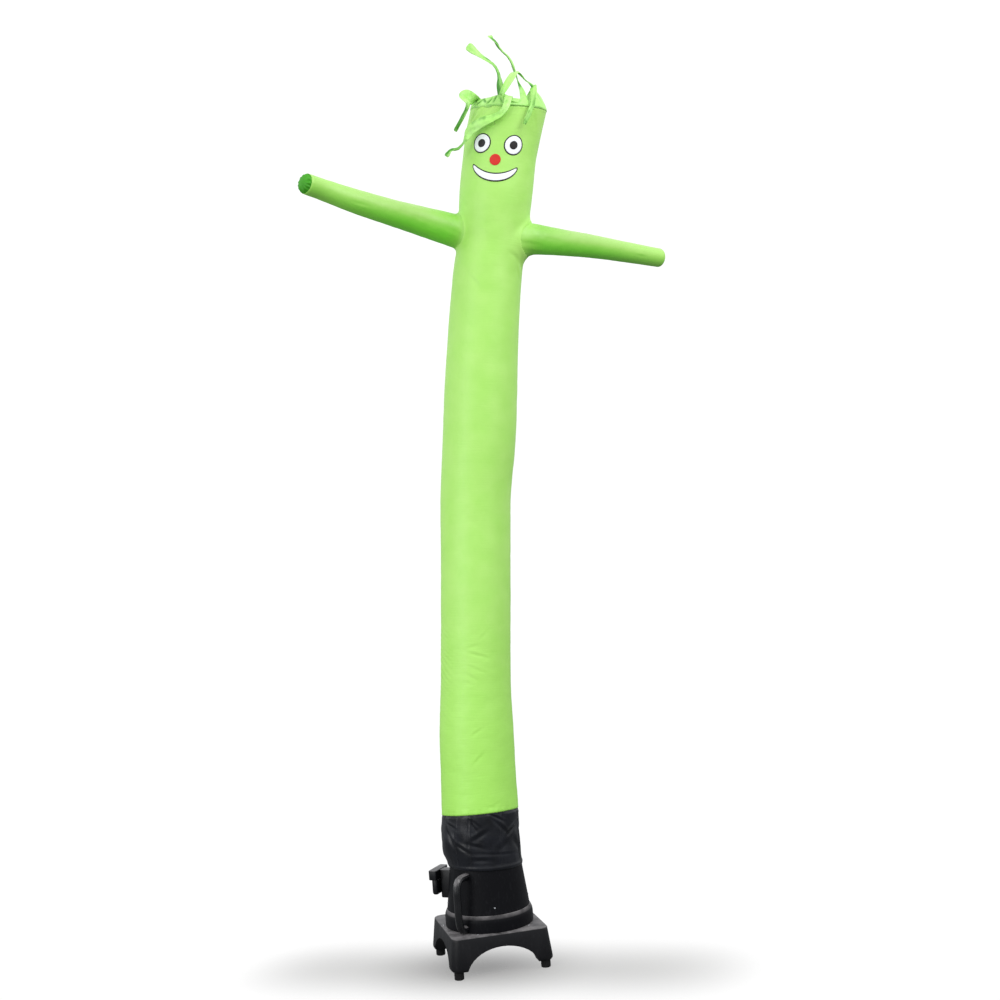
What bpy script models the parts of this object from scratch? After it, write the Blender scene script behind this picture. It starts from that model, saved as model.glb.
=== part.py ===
"""Inflatable air dancer: a tall cloth tube with two arms and a fringe of streamers at its head, held
over a moulded floor blower by a black cloth sleeve.

Metres, +Z up.  The floor is z = 0, the dancer's face looks towards -Y, and the origin is the bottom
centre of the whole dancer's box.  Everything is modelled around the blower's own upright axis and
hangs from one empty that stands at BLOWER_PLACE.
"""

import math

import bmesh
import bpy
from mathutils import Matrix, Vector

# ---------------------------------------------------------------- driving sizes
GAP = 0.0003  # between pieces that touch
CLOTH = 0.002  # thickness of every cloth piece
BLOWER_PLACE = (-0.3284, -0.0558, 0.0)  # the blower's axis, from the origin
BLOWER_YAW = math.radians(14.2)  # the square base is turned this far from the row's axes

# Blower
BASE_HALF_TOP = 0.293  # half the side of the square plate
BASE_HALF_FOOT = 0.314  # half the side where the flared legs end
BASE_CORNER = 0.050
PLATE_TOP = 0.240
LEG_END = 0.045
LEG_END_ROUND = 0.022
FOOT_AT = 0.2655  # feet from the axis, along both sides of the square
FOOT_RADIUS = 0.029
ARCH_HALF_WIDTH = 0.222
ARCH_CROWN = 0.168
ARCH_CENTRE = 0.020
INTAKE_RADIUS_FOOT = 0.297
INTAKE_RADIUS_TOP = 0.272
INTAKE_TOP = 0.232
RING_RADIUS = 0.268
RING_TOP = 0.340
BARREL_FOOT_RADIUS = 0.2515
BARREL_HEM_RADIUS = 0.2198  # where the sleeve's hem grips it
BARREL_TOP = 0.648
HANDLE_RADIUS = 0.0225
HANDLE_AZIMUTH = math.radians(225)  # over the base's front left corner
BOX_AZIMUTH = math.radians(142.4)

# Cloth column, from the sleeve's hem to the head seam
HEM_HEIGHT = 0.592
COLOUR_SEAM = 0.912  # where the black sleeve meets the coloured tube
SLEEVE_TUCK = 0.030  # the sleeve runs this far up inside the tube
HEAD_SEAM = 5.193
COLUMN_SIDES = 30
COLUMN_RINGS = 42
SLEEVE_RINGS = 9
CROWN_RISE = 0.045

# Arms
ARM_SIDES = 20
ARM_RINGS = 13
ARM_PLAN_START = 0.34  # the armhole reaches this far from the column's centreline

# The column's centreline: tip_right and tip_front are how far each cross-section leans, in degrees.
COLUMN_TABLE = (
    # height, across, away, radius, tip_right, tip_front
    (0.592, 0.000, 0.000, 0.2249, 1.7, -2.0),
    (0.690, -0.011, 0.006, 0.2310, 0.3, -3.2),
    (0.800, -0.016, 0.014, 0.2365, -0.8, -4.8),
    (0.912, -0.011, 0.022, 0.2355, -1.6, -6.0),
    (1.100, -0.008, 0.043, 0.2310, -0.5, -6.0),
    (1.350, -0.002, 0.066, 0.2280, 1.2, -5.0),
    (1.700, 0.017, 0.096, 0.2170, 3.0, -4.0),
    (2.200, 0.052, 0.125, 0.2168, 4.0, -2.5),
    (2.820, 0.095, 0.147, 0.2178, 5.0, -1.0),
    (3.190, 0.143, 0.151, 0.2265, 6.2, 0.0),
    (3.560, 0.182, 0.148, 0.2262, 7.0, 1.0),
    (3.810, 0.212, 0.143, 0.2205, 7.5, 2.0),
    (4.180, 0.263, 0.130, 0.2140, 8.5, 2.5),
    (4.400, 0.307, 0.119, 0.2110, 9.3, 3.0),
    (4.660, 0.348, 0.104, 0.2250, 9.5, 4.0),
    (4.900, 0.390, 0.086, 0.2253, 9.0, 5.0),
    (5.080, 0.434, 0.071, 0.2320, 7.5, 6.0),
    (5.193, 0.468, 0.061, 0.2345, 5.3, 7.0),
)

# Both arms: the tube tapers from its armhole to the end panel, and flares where it is sewn on.
ARM_TABLE = (
    # from_axis, radius
    (0.00, 0.135),
    (0.19, 0.114),
    (0.25, 0.098),
    (0.34, 0.089),
    (0.60, 0.076),
    (0.90, 0.066),
    (1.22, 0.057),
)
# The arms' centrelines run from the column's axis.
LEFT_ARM_PATH = (
    # across, away, height
    (0.325, 0.120, 4.418),
    (0.110, -0.012, 4.462),
    (-0.160, -0.165, 4.531),
    (-0.480, -0.350, 4.620),
    (-0.745, -0.511, 4.708),
)
RIGHT_ARM_PATH = (
    (0.300, 0.118, 4.408),
    (0.520, 0.045, 4.402),
    (0.700, 0.150, 4.388),
    (0.960, 0.325, 4.366),
    (1.250, 0.520, 4.332),
    (1.402, 0.623, 4.316),
)
# The end panel is blown out into a low dome.
END_PANEL_TABLE = (
    # out, radius_share
    (0.000, 1.00),
    (0.005, 1.00),
    (0.016, 0.92),
    (0.025, 0.70),
    (0.031, 0.38),
)

# Folds of the sleeve, where the cloth is slack between the blower and the tube.
SLEEVE_FOLDS = (
    # azimuth, height, slant, depth, half_width, half_length (degrees and metres)
    (-62, 0.800, 26, 0.0090, 9, 0.075),
    (-98, 0.835, -20, 0.0065, 7, 0.050),
    (-128, 0.820, 24, 0.0070, 8, 0.055),
    (-92, 0.700, 60, 0.0060, 16, 0.040),
    (-20, 0.760, -22, 0.0080, 10, 0.070),
    (35, 0.790, 20, 0.0080, 10, 0.070),
    (88, 0.740, -24, 0.0085, 11, 0.080),
    (142, 0.800, 22, 0.0075, 10, 0.065),
    (-165, 0.730, -20, 0.0070, 9, 0.060),
)

# The fringe's band, above the head seam: the wind draws parts of its edge up and in.
BAND_TABLE = (
    # azimuth, rise, draw_in
    (-180, 0.050, 0.012),
    (-150, 0.046, 0.022),
    (-126, 0.050, 0.030),
    (-102, 0.060, 0.012),
    (-84, 0.046, 0.008),
    (-66, 0.050, 0.010),
    (-54, 0.082, 0.020),
    (-42, 0.106, 0.036),
    (-18, 0.086, 0.034),
    (6, 0.058, 0.016),
    (60, 0.052, 0.014),
    (120, 0.052, 0.014),
    (180, 0.050, 0.012),
)

# Streamers: each is one strip of the band's cloth.  Its bends are measured from the head seam's
# centre, in metres, and twist turns the strip about its own run, in degrees.
STREAMER_WIDTH = 0.048
STREAMER_TIP = 0.62  # a tip's width, as a share of the streamer's
STREAMERS = {
    # azimuth of its root: (across, away, up, twist) at each bend
    -102: (
        (-0.040, -0.226, 0.085, 0),
        (-0.035, -0.218, 0.133, 52),
        (-0.053, -0.200, 0.200, 66),
        (-0.088, -0.185, 0.263, 60),
        (-0.133, -0.175, 0.300, 58),
        (-0.181, -0.172, 0.332, 30),
        (-0.225, -0.175, 0.362, 4),
    ),
    -66: (
        (0.078, -0.196, 0.078, 20),
        (0.058, -0.165, 0.141, 62),
        (0.050, -0.140, 0.191, 76),
        (0.016, -0.110, 0.285, 72),
        (-0.016, -0.090, 0.333, 74),
        (-0.046, -0.070, 0.380, 70),
        (-0.068, -0.060, 0.420, 50),
        (-0.084, -0.052, 0.456, 20),
    ),
    -42: (
        (0.152, -0.142, 0.098, 0),
        (0.104, -0.166, 0.141, 76),
        (0.072, -0.190, 0.171, 66),
        (0.050, -0.216, 0.175, 40),
        (0.018, -0.246, 0.142, 20),
        (-0.026, -0.274, 0.094, 22),
        (-0.058, -0.290, 0.052, 34),
    ),
    -54: (
        (0.149, -0.182, 0.098, 0),
        (0.154, -0.206, 0.074, 0),
        (0.150, -0.222, 0.016, 4),
        (0.139, -0.230, -0.040, 12),
        (0.121, -0.238, -0.088, 30),
        (0.088, -0.246, -0.140, 45),
    ),
    -150: (
        (-0.232, -0.130, 0.070, 60),
        (-0.262, -0.150, 0.091, 66),
        (-0.286, -0.166, 0.075, 84),
        (-0.268, -0.176, 0.034, 114),
        (-0.276, -0.180, -0.016, 128),
        (-0.306, -0.176, -0.070, 126),
        (-0.324, -0.174, -0.108, 122),
        (-0.346, -0.170, -0.143, 105),
    ),
    -90: (
        (0.000, -0.250, 0.020, 0),
        (-0.018, -0.270, -0.040, 0),
        (-0.048, -0.284, -0.082, 12),
        (-0.106, -0.284, -0.110, 16),
        (-0.170, -0.266, -0.126, 8),
        (-0.230, -0.246, -0.158, 0),
        (-0.262, -0.232, -0.200, 26),
        (-0.294, -0.220, -0.236, 62),
        (-0.343, -0.208, -0.258, 56),
        (-0.398, -0.196, -0.298, 30),
    ),
    54: (
        (0.150, 0.226, 0.070, 0),
        (0.162, 0.262, 0.020, 5),
        (0.150, 0.282, -0.090, 12),
        (0.140, 0.290, -0.220, 24),
        (0.118, 0.300, -0.330, 34),
    ),
    90: (
        (0.004, 0.262, 0.080, 0),
        (-0.006, 0.302, 0.030, -5),
        (-0.016, 0.318, -0.080, -12),
        (-0.034, 0.322, -0.200, -20),
        (-0.040, 0.330, -0.300, -35),
    ),
    126: (
        (-0.142, 0.226, 0.068, 0),
        (-0.160, 0.260, 0.016, 6),
        (-0.158, 0.282, -0.080, 14),
        (-0.172, 0.286, -0.190, 20),
        (-0.168, 0.294, -0.270, 30),
    ),
}

# ---------------------------------------------------------------- scene and materials
for leftover in list(bpy.data.objects):
    bpy.data.objects.remove(leftover, do_unlink=True)

dancer_parts = bpy.data.collections.new("air_dancer")
cutters = bpy.data.collections.new("cutters")
bpy.context.scene.collection.children.link(dancer_parts)
bpy.context.scene.collection.children.link(cutters)


def material(name, colour, roughness):
    """A plain surface with its own colour and roughness."""
    made = bpy.data.materials.new(name)
    made.use_nodes = True
    shader = made.node_tree.nodes["Principled BSDF"]
    shader.inputs["Base Color"].default_value = (*colour, 1.0)
    shader.inputs["Roughness"].default_value = roughness
    shader.inputs["Metallic"].default_value = 0.0
    return made


LIME = (0.42, 0.82, 0.20)
LIME_LIGHT = (0.52, 0.88, 0.30)
BLACK_CLOTH = (0.022, 0.023, 0.026)
BLACK_PLASTIC = (0.030, 0.031, 0.034)
BLACK_RUBBER = (0.018, 0.018, 0.018)


# ---------------------------------------------------------------- placing and shaping helpers
def empty(name, parent, location, yaw):
    """A holder that places the pieces parented to it."""
    holder = bpy.data.objects.new(name, None)
    holder.parent = parent
    holder.location = location
    holder.rotation_euler.z = yaw
    dancer_parts.objects.link(holder)
    return holder


def add(name, mesh, parent, surface):
    """Adds a sub-part to the dancer, with its own material, smooth but for its sharp edges."""
    piece = bpy.data.objects.new(name, mesh)
    piece.parent = parent
    dancer_parts.objects.link(piece)
    colour, roughness = surface
    mesh.materials.clear()
    mesh.materials.append(material(name, colour, roughness))
    mesh.shade_smooth()
    mesh.set_sharp_from_angle(angle=math.radians(35))
    return piece


def add_cutter(name, mesh, parent):
    """Adds a shape that only cuts others."""
    cutter = bpy.data.objects.new(name, mesh)
    cutter.parent = parent
    cutter.hide_render = True
    cutter.display_type = "WIRE"
    cutters.objects.link(cutter)
    return cutter


def cut(piece, cutter):
    """Takes the cutter's space out of a piece."""
    boolean = piece.modifiers.new(cutter.name, "BOOLEAN")
    boolean.operation = "DIFFERENCE"
    boolean.solver = "EXACT"
    boolean.object = cutter


def cloth(piece):
    """Gives a piece's open surface the cloth's thickness, inwards."""
    thick = piece.modifiers.new("cloth", "SOLIDIFY")
    thick.thickness = CLOTH
    thick.offset = -1.0
    thick.use_even_offset = True


def smooth_row(table, at):
    """The table's row at a value of its first column, on a smooth curve through the rows."""
    last = len(table) - 1
    k = max(i for i in range(last) if i == 0 or table[i][0] <= at)
    share = min(max((at - table[k][0]) / (table[k + 1][0] - table[k][0]), 0.0), 1.0)

    def slope(i, column):
        low, high = max(i - 1, 0), min(i + 1, last)
        rise = table[high][column] - table[low][column]
        return rise / (table[high][0] - table[low][0])

    step = table[k + 1][0] - table[k][0]
    square, cube = share * share, share**3
    row = []
    for column in range(len(table[0])):
        row.append(
            (2 * cube - 3 * square + 1) * table[k][column]
            + (cube - 2 * square + share) * step * slope(k, column)
            + (3 * square - 2 * cube) * table[k + 1][column]
            + (cube - square) * step * slope(k + 1, column)
        )
    return row


def smooth_path(points, spans):
    """Points along a smooth curve through the given ones, so many to each span."""
    table = [(i, *point) for i, point in enumerate(points)]
    count = (len(points) - 1) * spans
    return [smooth_row(table, i / spans)[1:] for i in range(count + 1)]


def skin(rings, tip=None):
    """A mesh of quads through rings of equally many points, each ring closed; tip ends it in a fan."""
    bm = bmesh.new()
    rows = [[bm.verts.new(point) for point in ring] for ring in rings]
    sides = len(rows[0])
    for low, high in zip(rows, rows[1:]):
        for i in range(sides):
            j = (i + 1) % sides
            bm.faces.new((low[i], low[j], high[j], high[i]))
    if tip is not None:
        top = bm.verts.new(tip)
        for i in range(sides):
            bm.faces.new((rows[-1][i], rows[-1][(i + 1) % sides], top))
    mesh = bpy.data.meshes.new("skin")
    bm.to_mesh(mesh)
    bm.free()
    return mesh


def closed_skin(rings):
    """The same, with both ends filled, for a cutter."""
    bm = bmesh.new()
    bm.from_mesh(skin(rings))
    bmesh.ops.holes_fill(bm, edges=[e for e in bm.edges if e.is_boundary])
    bmesh.ops.recalc_face_normals(bm, faces=bm.faces)
    mesh = bpy.data.meshes.new("closed_skin")
    bm.to_mesh(mesh)
    bm.free()
    return mesh


def turned(profile, steps=48):
    """A solid of revolution about Z, from its outer profile listed from the top to the bottom."""
    bm = bmesh.new()
    points = [bm.verts.new((radius, 0.0, height)) for radius, height in profile]
    for upper, lower in zip(points, points[1:]):
        bm.edges.new((upper, lower))
    mesh = bpy.data.meshes.new("profile")
    bm.to_mesh(mesh)
    bm.free()

    def spin(piece):
        screw = piece.modifiers.new("turned", "SCREW")
        screw.axis = "Z"
        screw.steps = steps
        screw.render_steps = steps
        screw.use_merge_vertices = True
        screw.merge_threshold = 0.0001

    return mesh, spin


def round_bar(points, radius, sides_resolution=3):
    """A bar along a curve through the given points, as a closed mesh."""
    line = bpy.data.curves.new("bar", "CURVE")
    line.dimensions = "3D"
    line.bevel_depth = radius
    line.bevel_resolution = sides_resolution
    line.use_fill_caps = True
    spline = line.splines.new("POLY")
    spline.points.add(len(points) - 1)
    for point, place in zip(spline.points, points):
        point.co = (*place, 1.0)
    holder = bpy.data.objects.new("bar", line)
    bpy.context.scene.collection.objects.link(holder)
    depsgraph = bpy.context.evaluated_depsgraph_get()
    mesh = bpy.data.meshes.new_from_object(holder.evaluated_get(depsgraph))
    bpy.data.objects.remove(holder)
    bm = bmesh.new()
    bm.from_mesh(mesh)
    bmesh.ops.remove_doubles(bm, verts=bm.verts, dist=0.0001)
    bmesh.ops.recalc_face_normals(bm, faces=bm.faces)
    bm.to_mesh(mesh)
    bm.free()
    return mesh


def block(half_low, half_high, low, high, corner, foot_round=0.0):
    """A block, tapered upwards, with its upright edges rounded, and its lower ones by foot_round."""
    bm = bmesh.new()
    bmesh.ops.create_cube(bm, size=2.0)
    for vert in bm.verts:
        half_x, half_y = half_high if vert.co.z > 0 else half_low
        height = high if vert.co.z > 0 else low
        vert.co = (vert.co.x * half_x, vert.co.y * half_y, height)
    upright = [e for e in bm.edges if abs(e.verts[0].co.z - e.verts[1].co.z) > 0.5 * (high - low)]
    bmesh.ops.bevel(bm, geom=upright, offset=corner, segments=5, profile=0.5, affect="EDGES")
    if foot_round:
        lower = [e for e in bm.edges if max(v.co.z for v in e.verts) < low + 0.001]
        bmesh.ops.bevel(bm, geom=lower, offset=foot_round, segments=3, profile=0.5, affect="EDGES")
    mesh = bpy.data.meshes.new("block")
    bm.to_mesh(mesh)
    bm.free()
    return mesh


def soften(piece, width):
    """Rounds a moulded piece's sharp edges."""
    bevel = piece.modifiers.new("softened", "BEVEL")
    bevel.width = width
    bevel.segments = 2
    bevel.limit_method = "ANGLE"
    bevel.angle_limit = math.radians(40)


# ---------------------------------------------------------------- blower
def elliptical_tunnel(half_width, centre, crown, half_length, along_y):
    """A level tunnel with an elliptical roof, which cuts an arch through two sides of the base."""
    bm = bmesh.new()
    bmesh.ops.create_cone(
        bm, cap_ends=True, segments=40, radius1=half_width, radius2=half_width, depth=2 * half_length
    )
    lying = Matrix.Rotation(math.pi / 2, 4, "X" if along_y else "Y")
    flattened = Matrix.Diagonal((1.0, 1.0, (crown - centre) / half_width, 1.0))
    placed = Matrix.Translation((0, 0, centre)) @ flattened @ lying
    bmesh.ops.transform(bm, matrix=placed, verts=bm.verts)
    mesh = bpy.data.meshes.new("tunnel")
    bm.to_mesh(mesh)
    bm.free()
    return mesh


def blower_base(parent):
    """The moulded base: a flat plate on four flared legs, with an arch through each side."""
    foot, top = (BASE_HALF_FOOT, BASE_HALF_FOOT), (BASE_HALF_TOP, BASE_HALF_TOP)
    body = block(foot, top, LEG_END, PLATE_TOP, BASE_CORNER, LEG_END_ROUND)
    base = add("blower_base", body, parent, (BLACK_PLASTIC, 0.45))
    soften(base, 0.006)

    bm = bmesh.new()
    depth = INTAKE_TOP - LEG_END + 0.02
    bmesh.ops.create_cone(
        bm,
        cap_ends=True,
        segments=48,
        radius1=INTAKE_RADIUS_FOOT,
        radius2=INTAKE_RADIUS_TOP,
        depth=depth,
        matrix=Matrix.Translation((0, 0, INTAKE_TOP - depth / 2)),
    )
    intake = bpy.data.meshes.new("intake")
    bm.to_mesh(intake)
    bm.free()
    cut(base, add_cutter("intake_space", intake, parent))
    for along_y in (False, True):
        tunnel = elliptical_tunnel(ARCH_HALF_WIDTH, ARCH_CENTRE, ARCH_CROWN, 0.45, along_y)
        cut(base, add_cutter(f"arch_{'front' if along_y else 'side'}", tunnel, parent))


def blower_feet(parent):
    """Four rubber pegs, one under each leg."""
    names = {(-1, -1): "front_left", (1, -1): "front_right", (1, 1): "back_right", (-1, 1): "back_left"}
    for (side_x, side_y), name in names.items():
        profile = (
            (0.0, LEG_END - GAP),
            (FOOT_RADIUS, LEG_END - GAP),
            (FOOT_RADIUS, 0.004),
            (FOOT_RADIUS - 0.004, 0.0),
            (0.0, 0.0),
        )
        mesh, spin = turned(profile, steps=20)
        foot = add(f"foot_{name}", mesh, parent, (BLACK_RUBBER, 0.85))
        spin(foot)
        foot.location = (side_x * FOOT_AT, side_y * FOOT_AT, 0.0)


RING_PROFILE = (
    # radius, height, from the top down
    (0.0, RING_TOP),
    (0.2535, RING_TOP),
    (0.2610, RING_TOP - 0.015),
    (0.2665, RING_TOP - 0.031),
    (RING_RADIUS, RING_TOP - 0.044),
    (RING_RADIUS, PLATE_TOP + GAP),
    (0.0, PLATE_TOP + GAP),
)
BARREL_PROFILE = (
    (0.0, BARREL_TOP),
    (0.206, BARREL_TOP),
    (0.211, BARREL_TOP - 0.002),
    (0.213, BARREL_TOP - 0.007),
    (0.213, BARREL_TOP - 0.016),
    (BARREL_HEM_RADIUS - 0.004, 0.625),
    (BARREL_HEM_RADIUS, HEM_HEIGHT),
    (BARREL_FOOT_RADIUS, RING_TOP + GAP),
    (0.0, RING_TOP + GAP),
)


def blower_housing(parent):
    """The round flange that sits on the plate, and the tapered barrel that the sleeve fits over."""
    for name, profile in (("blower_flange", RING_PROFILE), ("blower_barrel", BARREL_PROFILE)):
        mesh, spin = turned(profile)
        spin(add(name, mesh, parent, (BLACK_PLASTIC, 0.5)))


def housing_clearance(parent):
    """A cutter: the flange and the barrel as one, larger all round by the gap."""
    outer = [(radius + GAP, height + GAP) for radius, height in BARREL_PROFILE[1:-1]]
    outer += [(radius + GAP, height + GAP) for radius, height in RING_PROFILE[1:5]]
    outer += [(RING_RADIUS + GAP, PLATE_TOP)]
    profile = [(0.0, outer[0][1])] + outer + [(0.0, PLATE_TOP)]
    mesh, spin = turned(profile)
    cutter = add_cutter("housing_space", mesh, parent)
    spin(cutter)
    return cutter


def blower_handle(parent, housing):
    """The D-shaped carrying handle: a round bar from the barrel's top out, down and in to the flange."""
    bends = (
        # from_axis, height
        (0.200, 0.566),
        (0.262, 0.570),
        (0.312, 0.562),
        (0.336, 0.524),
        (0.339, 0.450),
        (0.338, 0.370),
        (0.333, 0.310),
        (0.310, 0.272),
        (0.272, 0.266),
        (0.235, 0.266),
    )
    out_x, out_y = math.cos(HANDLE_AZIMUTH), math.sin(HANDLE_AZIMUTH)
    line = [(r * out_x, r * out_y, z) for r, z in smooth_path(bends, 2)]
    handle = add("handle", round_bar(line, HANDLE_RADIUS), parent, (BLACK_PLASTIC, 0.45))
    cut(handle, housing)


def control_box(parent, housing):
    """The switch box: a hooded case on a bracket that is screwed to the barrel."""
    holder = empty("control_box_side", parent, (0, 0, 0), BOX_AZIMUTH)
    pieces = (
        # name, from_axis low and high, half width, height low and high, corner, foot round
        ("switch_box_hood", 0.3003, 0.353, 0.086, 0.4983, 0.557, 0.010, 0.0),
        ("switch_box_case", 0.3003, 0.341, 0.078, 0.406, 0.498, 0.018, 0.016),
        ("switch_box_bracket", 0.200, 0.300, 0.034, 0.380, 0.553, 0.010, 0.008),
    )
    for name, near, far, half_width, low, high, corner, foot_round in pieces:
        half = ((far - near) / 2, half_width)
        shape = block(half, half, low, high, corner, foot_round)
        piece = add(name, shape, holder, (BLACK_PLASTIC, 0.5))
        piece.location.x = (near + far) / 2
        soften(piece, 0.003)
        if near < BARREL_FOOT_RADIUS:
            cut(piece, housing)


# ---------------------------------------------------------------- cloth column
def column_place(height):
    """(the frame of the column's cross-section whose centre is at this height, its radius)."""
    _, across, away, radius, tip_right, tip_front = smooth_row(COLUMN_TABLE, height)
    lean = Matrix.Rotation(math.radians(tip_right), 4, "Y") @ Matrix.Rotation(math.radians(tip_front), 4, "X")
    return Matrix.Translation((across, away, height)) @ lean, radius


def column_ring(height, extra=0.0, shape=None):
    """One ring of the column, larger by extra; shape(azimuth) adds to the radius."""
    place, radius = column_place(height)
    points = []
    for i in range(COLUMN_SIDES):
        azimuth = 2 * math.pi * i / COLUMN_SIDES
        reach = radius + extra + (shape(math.degrees(azimuth)) if shape else 0.0)
        points.append(place @ Vector((reach * math.cos(azimuth), reach * math.sin(azimuth), 0.0)))
    return points


def evenly(low, high, count):
    return [low + (high - low) * i / (count - 1) for i in range(count)]


def around(azimuth, other):
    """The turn from one azimuth to another, from -180 to 180 degrees."""
    return (other - azimuth + 180.0) % 360.0 - 180.0


def fold_depth(azimuth, height):
    """How far the sleeve's folds draw its cloth in at one place."""
    depth = 0.0
    for at, at_height, slant, deep, half_width, half_length in SLEEVE_FOLDS:
        rise = height - at_height
        turn = around(at, azimuth) - slant * rise / half_length
        depth += deep * math.exp(-((turn / half_width) ** 2) - (rise / half_length) ** 2)
    return depth


def base_sleeve(parent):
    """The black sleeve: its hem grips the barrel, and its top is tucked into the tube and sewn."""
    under_tube = -(CLOTH + 2 * GAP)
    rings = []
    for height in evenly(HEM_HEIGHT, COLOUR_SEAM - 0.012, SLEEVE_RINGS):
        hold = min((height - HEM_HEIGHT) / 0.06, 1.0)
        tuck = min(max((height - COLOUR_SEAM + 0.060) / 0.050, 0.0), 1.0)
        slack = hold * (1.0 - tuck)
        extra = tuck * under_tube

        def shape(azimuth, height=height, slack=slack):
            return -slack * fold_depth(azimuth, height)

        rings.append(column_ring(height, extra, shape))
    rings.append(column_ring(COLOUR_SEAM + SLEEVE_TUCK, under_tube))
    sleeve = add("base_sleeve", skin(rings), parent, (BLACK_CLOTH, 0.8))
    cloth(sleeve)


def tube_heights():
    return evenly(COLOUR_SEAM, HEAD_SEAM, COLUMN_RINGS)


def body_tube(parent):
    """The coloured tube, from the colour seam to the head seam, with an armhole on each side."""
    rings = [column_ring(height) for height in tube_heights()]
    tube = add("body_tube", skin(rings), parent, (LIME, 0.6))
    cloth(tube)
    return tube


def crown_panel(parent):
    """The round panel that closes the tube at the head seam, blown up into a low dome."""
    inset = -(CLOTH + 3 * GAP)
    place, radius = column_place(HEAD_SEAM)
    rim = radius + inset
    rings = [column_ring(HEAD_SEAM - 0.020, inset), column_ring(HEAD_SEAM - 0.004, inset)]
    for share in (0.94, 0.78, 0.52, 0.24):
        lift = CROWN_RISE * (1.0 - share**2)
        ring = []
        for i in range(COLUMN_SIDES):
            azimuth = 2 * math.pi * i / COLUMN_SIDES
            reach = rim * share
            ring.append(place @ Vector((reach * math.cos(azimuth), reach * math.sin(azimuth), lift)))
        rings.append(ring)
    crown = add("crown_panel", skin(rings, place @ Vector((0, 0, CROWN_RISE))), parent, (LIME, 0.6))
    cloth(crown)


# ---------------------------------------------------------------- arms
def path_frames(points):
    """A frame at each point of a path, its Z along the path, turning as little as it can."""
    points = [Vector(p) for p in points]
    frames, side = [], Vector((0, 0, 1))
    for i, point in enumerate(points):
        ahead = points[min(i + 1, len(points) - 1)] - points[max(i - 1, 0)]
        ahead.normalize()
        side = (side - ahead * side.dot(ahead)).normalized()
        other = ahead.cross(side)
        turn = Matrix((side, other, ahead)).transposed().to_4x4()
        frames.append(Matrix.Translation(point) @ turn)
    return frames


def arm_stations(path):
    """(frame, distance from the column's axis) along an arm, closer together at the armhole."""
    fine = smooth_path(path, 12)
    frames = path_frames(fine)
    run = [0.0]
    for a, b in zip(fine, fine[1:]):
        run.append(run[-1] + (Vector(b) - Vector(a)).length)
    shares = [(i / (ARM_RINGS - 1)) ** 1.25 for i in range(ARM_RINGS)]
    stations = []
    for share in shares:
        wanted = share * run[-1]
        k = min(range(len(run)), key=lambda i: abs(run[i] - wanted))
        stations.append((frames[k], run[k]))
    return stations


def circle(place, radius, sides, out=0.0):
    turns = [2 * math.pi * i / sides for i in range(sides)]
    return [place @ Vector((radius * math.cos(t), radius * math.sin(t), out)) for t in turns]


def arm(side, path, tube, column_space, parent):
    """An arm: a tapered tube sewn to its armhole, and a round panel sewn into its end."""
    stations = arm_stations(path)
    rings = [circle(place, smooth_row(ARM_TABLE, run)[1], ARM_SIDES) for place, run in stations]
    sleeve = add(f"arm_{side}", skin(rings), parent, (LIME, 0.6))
    cloth(sleeve)
    cut(sleeve, column_space)

    inner = [
        circle(place, smooth_row(ARM_TABLE, run)[1] - CLOTH - 0.010, ARM_SIDES)
        for place, run in stations
        if run < ARM_PLAN_START
    ]
    cut(tube, add_cutter(f"armhole_{side}", closed_skin(inner), parent))

    place, run = stations[-1]
    radius = smooth_row(ARM_TABLE, run)[1]
    dome = [circle(place, radius * share, ARM_SIDES, GAP + out) for out, share in END_PANEL_TABLE]
    tip = place @ Vector((0.0, 0.0, GAP + END_PANEL_TABLE[-1][0] + 0.003))
    cloth(add(f"arm_{side}_end", skin(dome, tip), parent, (LIME, 0.6)))


def arms(tube, parent):
    near_arms = [height for height in tube_heights() if 3.9 < height < 5.0]
    column = closed_skin([column_ring(height, GAP) for height in near_arms])
    column_space = add_cutter("column_space", column, parent)
    arm("left", LEFT_ARM_PATH, tube, column_space, parent)
    arm("right", RIGHT_ARM_PATH, tube, column_space, parent)


# ---------------------------------------------------------------- head fringe
def streamer_rows(root, centre, bends):
    """The pairs of edge points along a streamer, from its root's two points on the band's edge."""
    start = (root[0] + root[1]) / 2
    places = [(*start, 0.0)]
    places += [(*(centre + Vector((across, away, up))), twist) for across, away, up, twist in bends]
    line = smooth_path(places, 3)
    wide = (root[1] - root[0]).normalized()
    rows = []
    for i in range(1, len(line)):
        here = Vector(line[i][:3])
        ahead = Vector(line[min(i + 1, len(line) - 1)][:3]) - Vector(line[i - 1][:3])
        ahead.normalize()
        wide = (wide - ahead * wide.dot(ahead)).normalized()
        turned_wide = Matrix.Rotation(math.radians(line[i][3]), 3, ahead) @ wide
        left = len(line) - 1 - i
        half = STREAMER_WIDTH / 2 * (STREAMER_TIP if left == 0 else 1.0)
        rows.append((here - turned_wide * half, here + turned_wide * half))
    return rows


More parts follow.
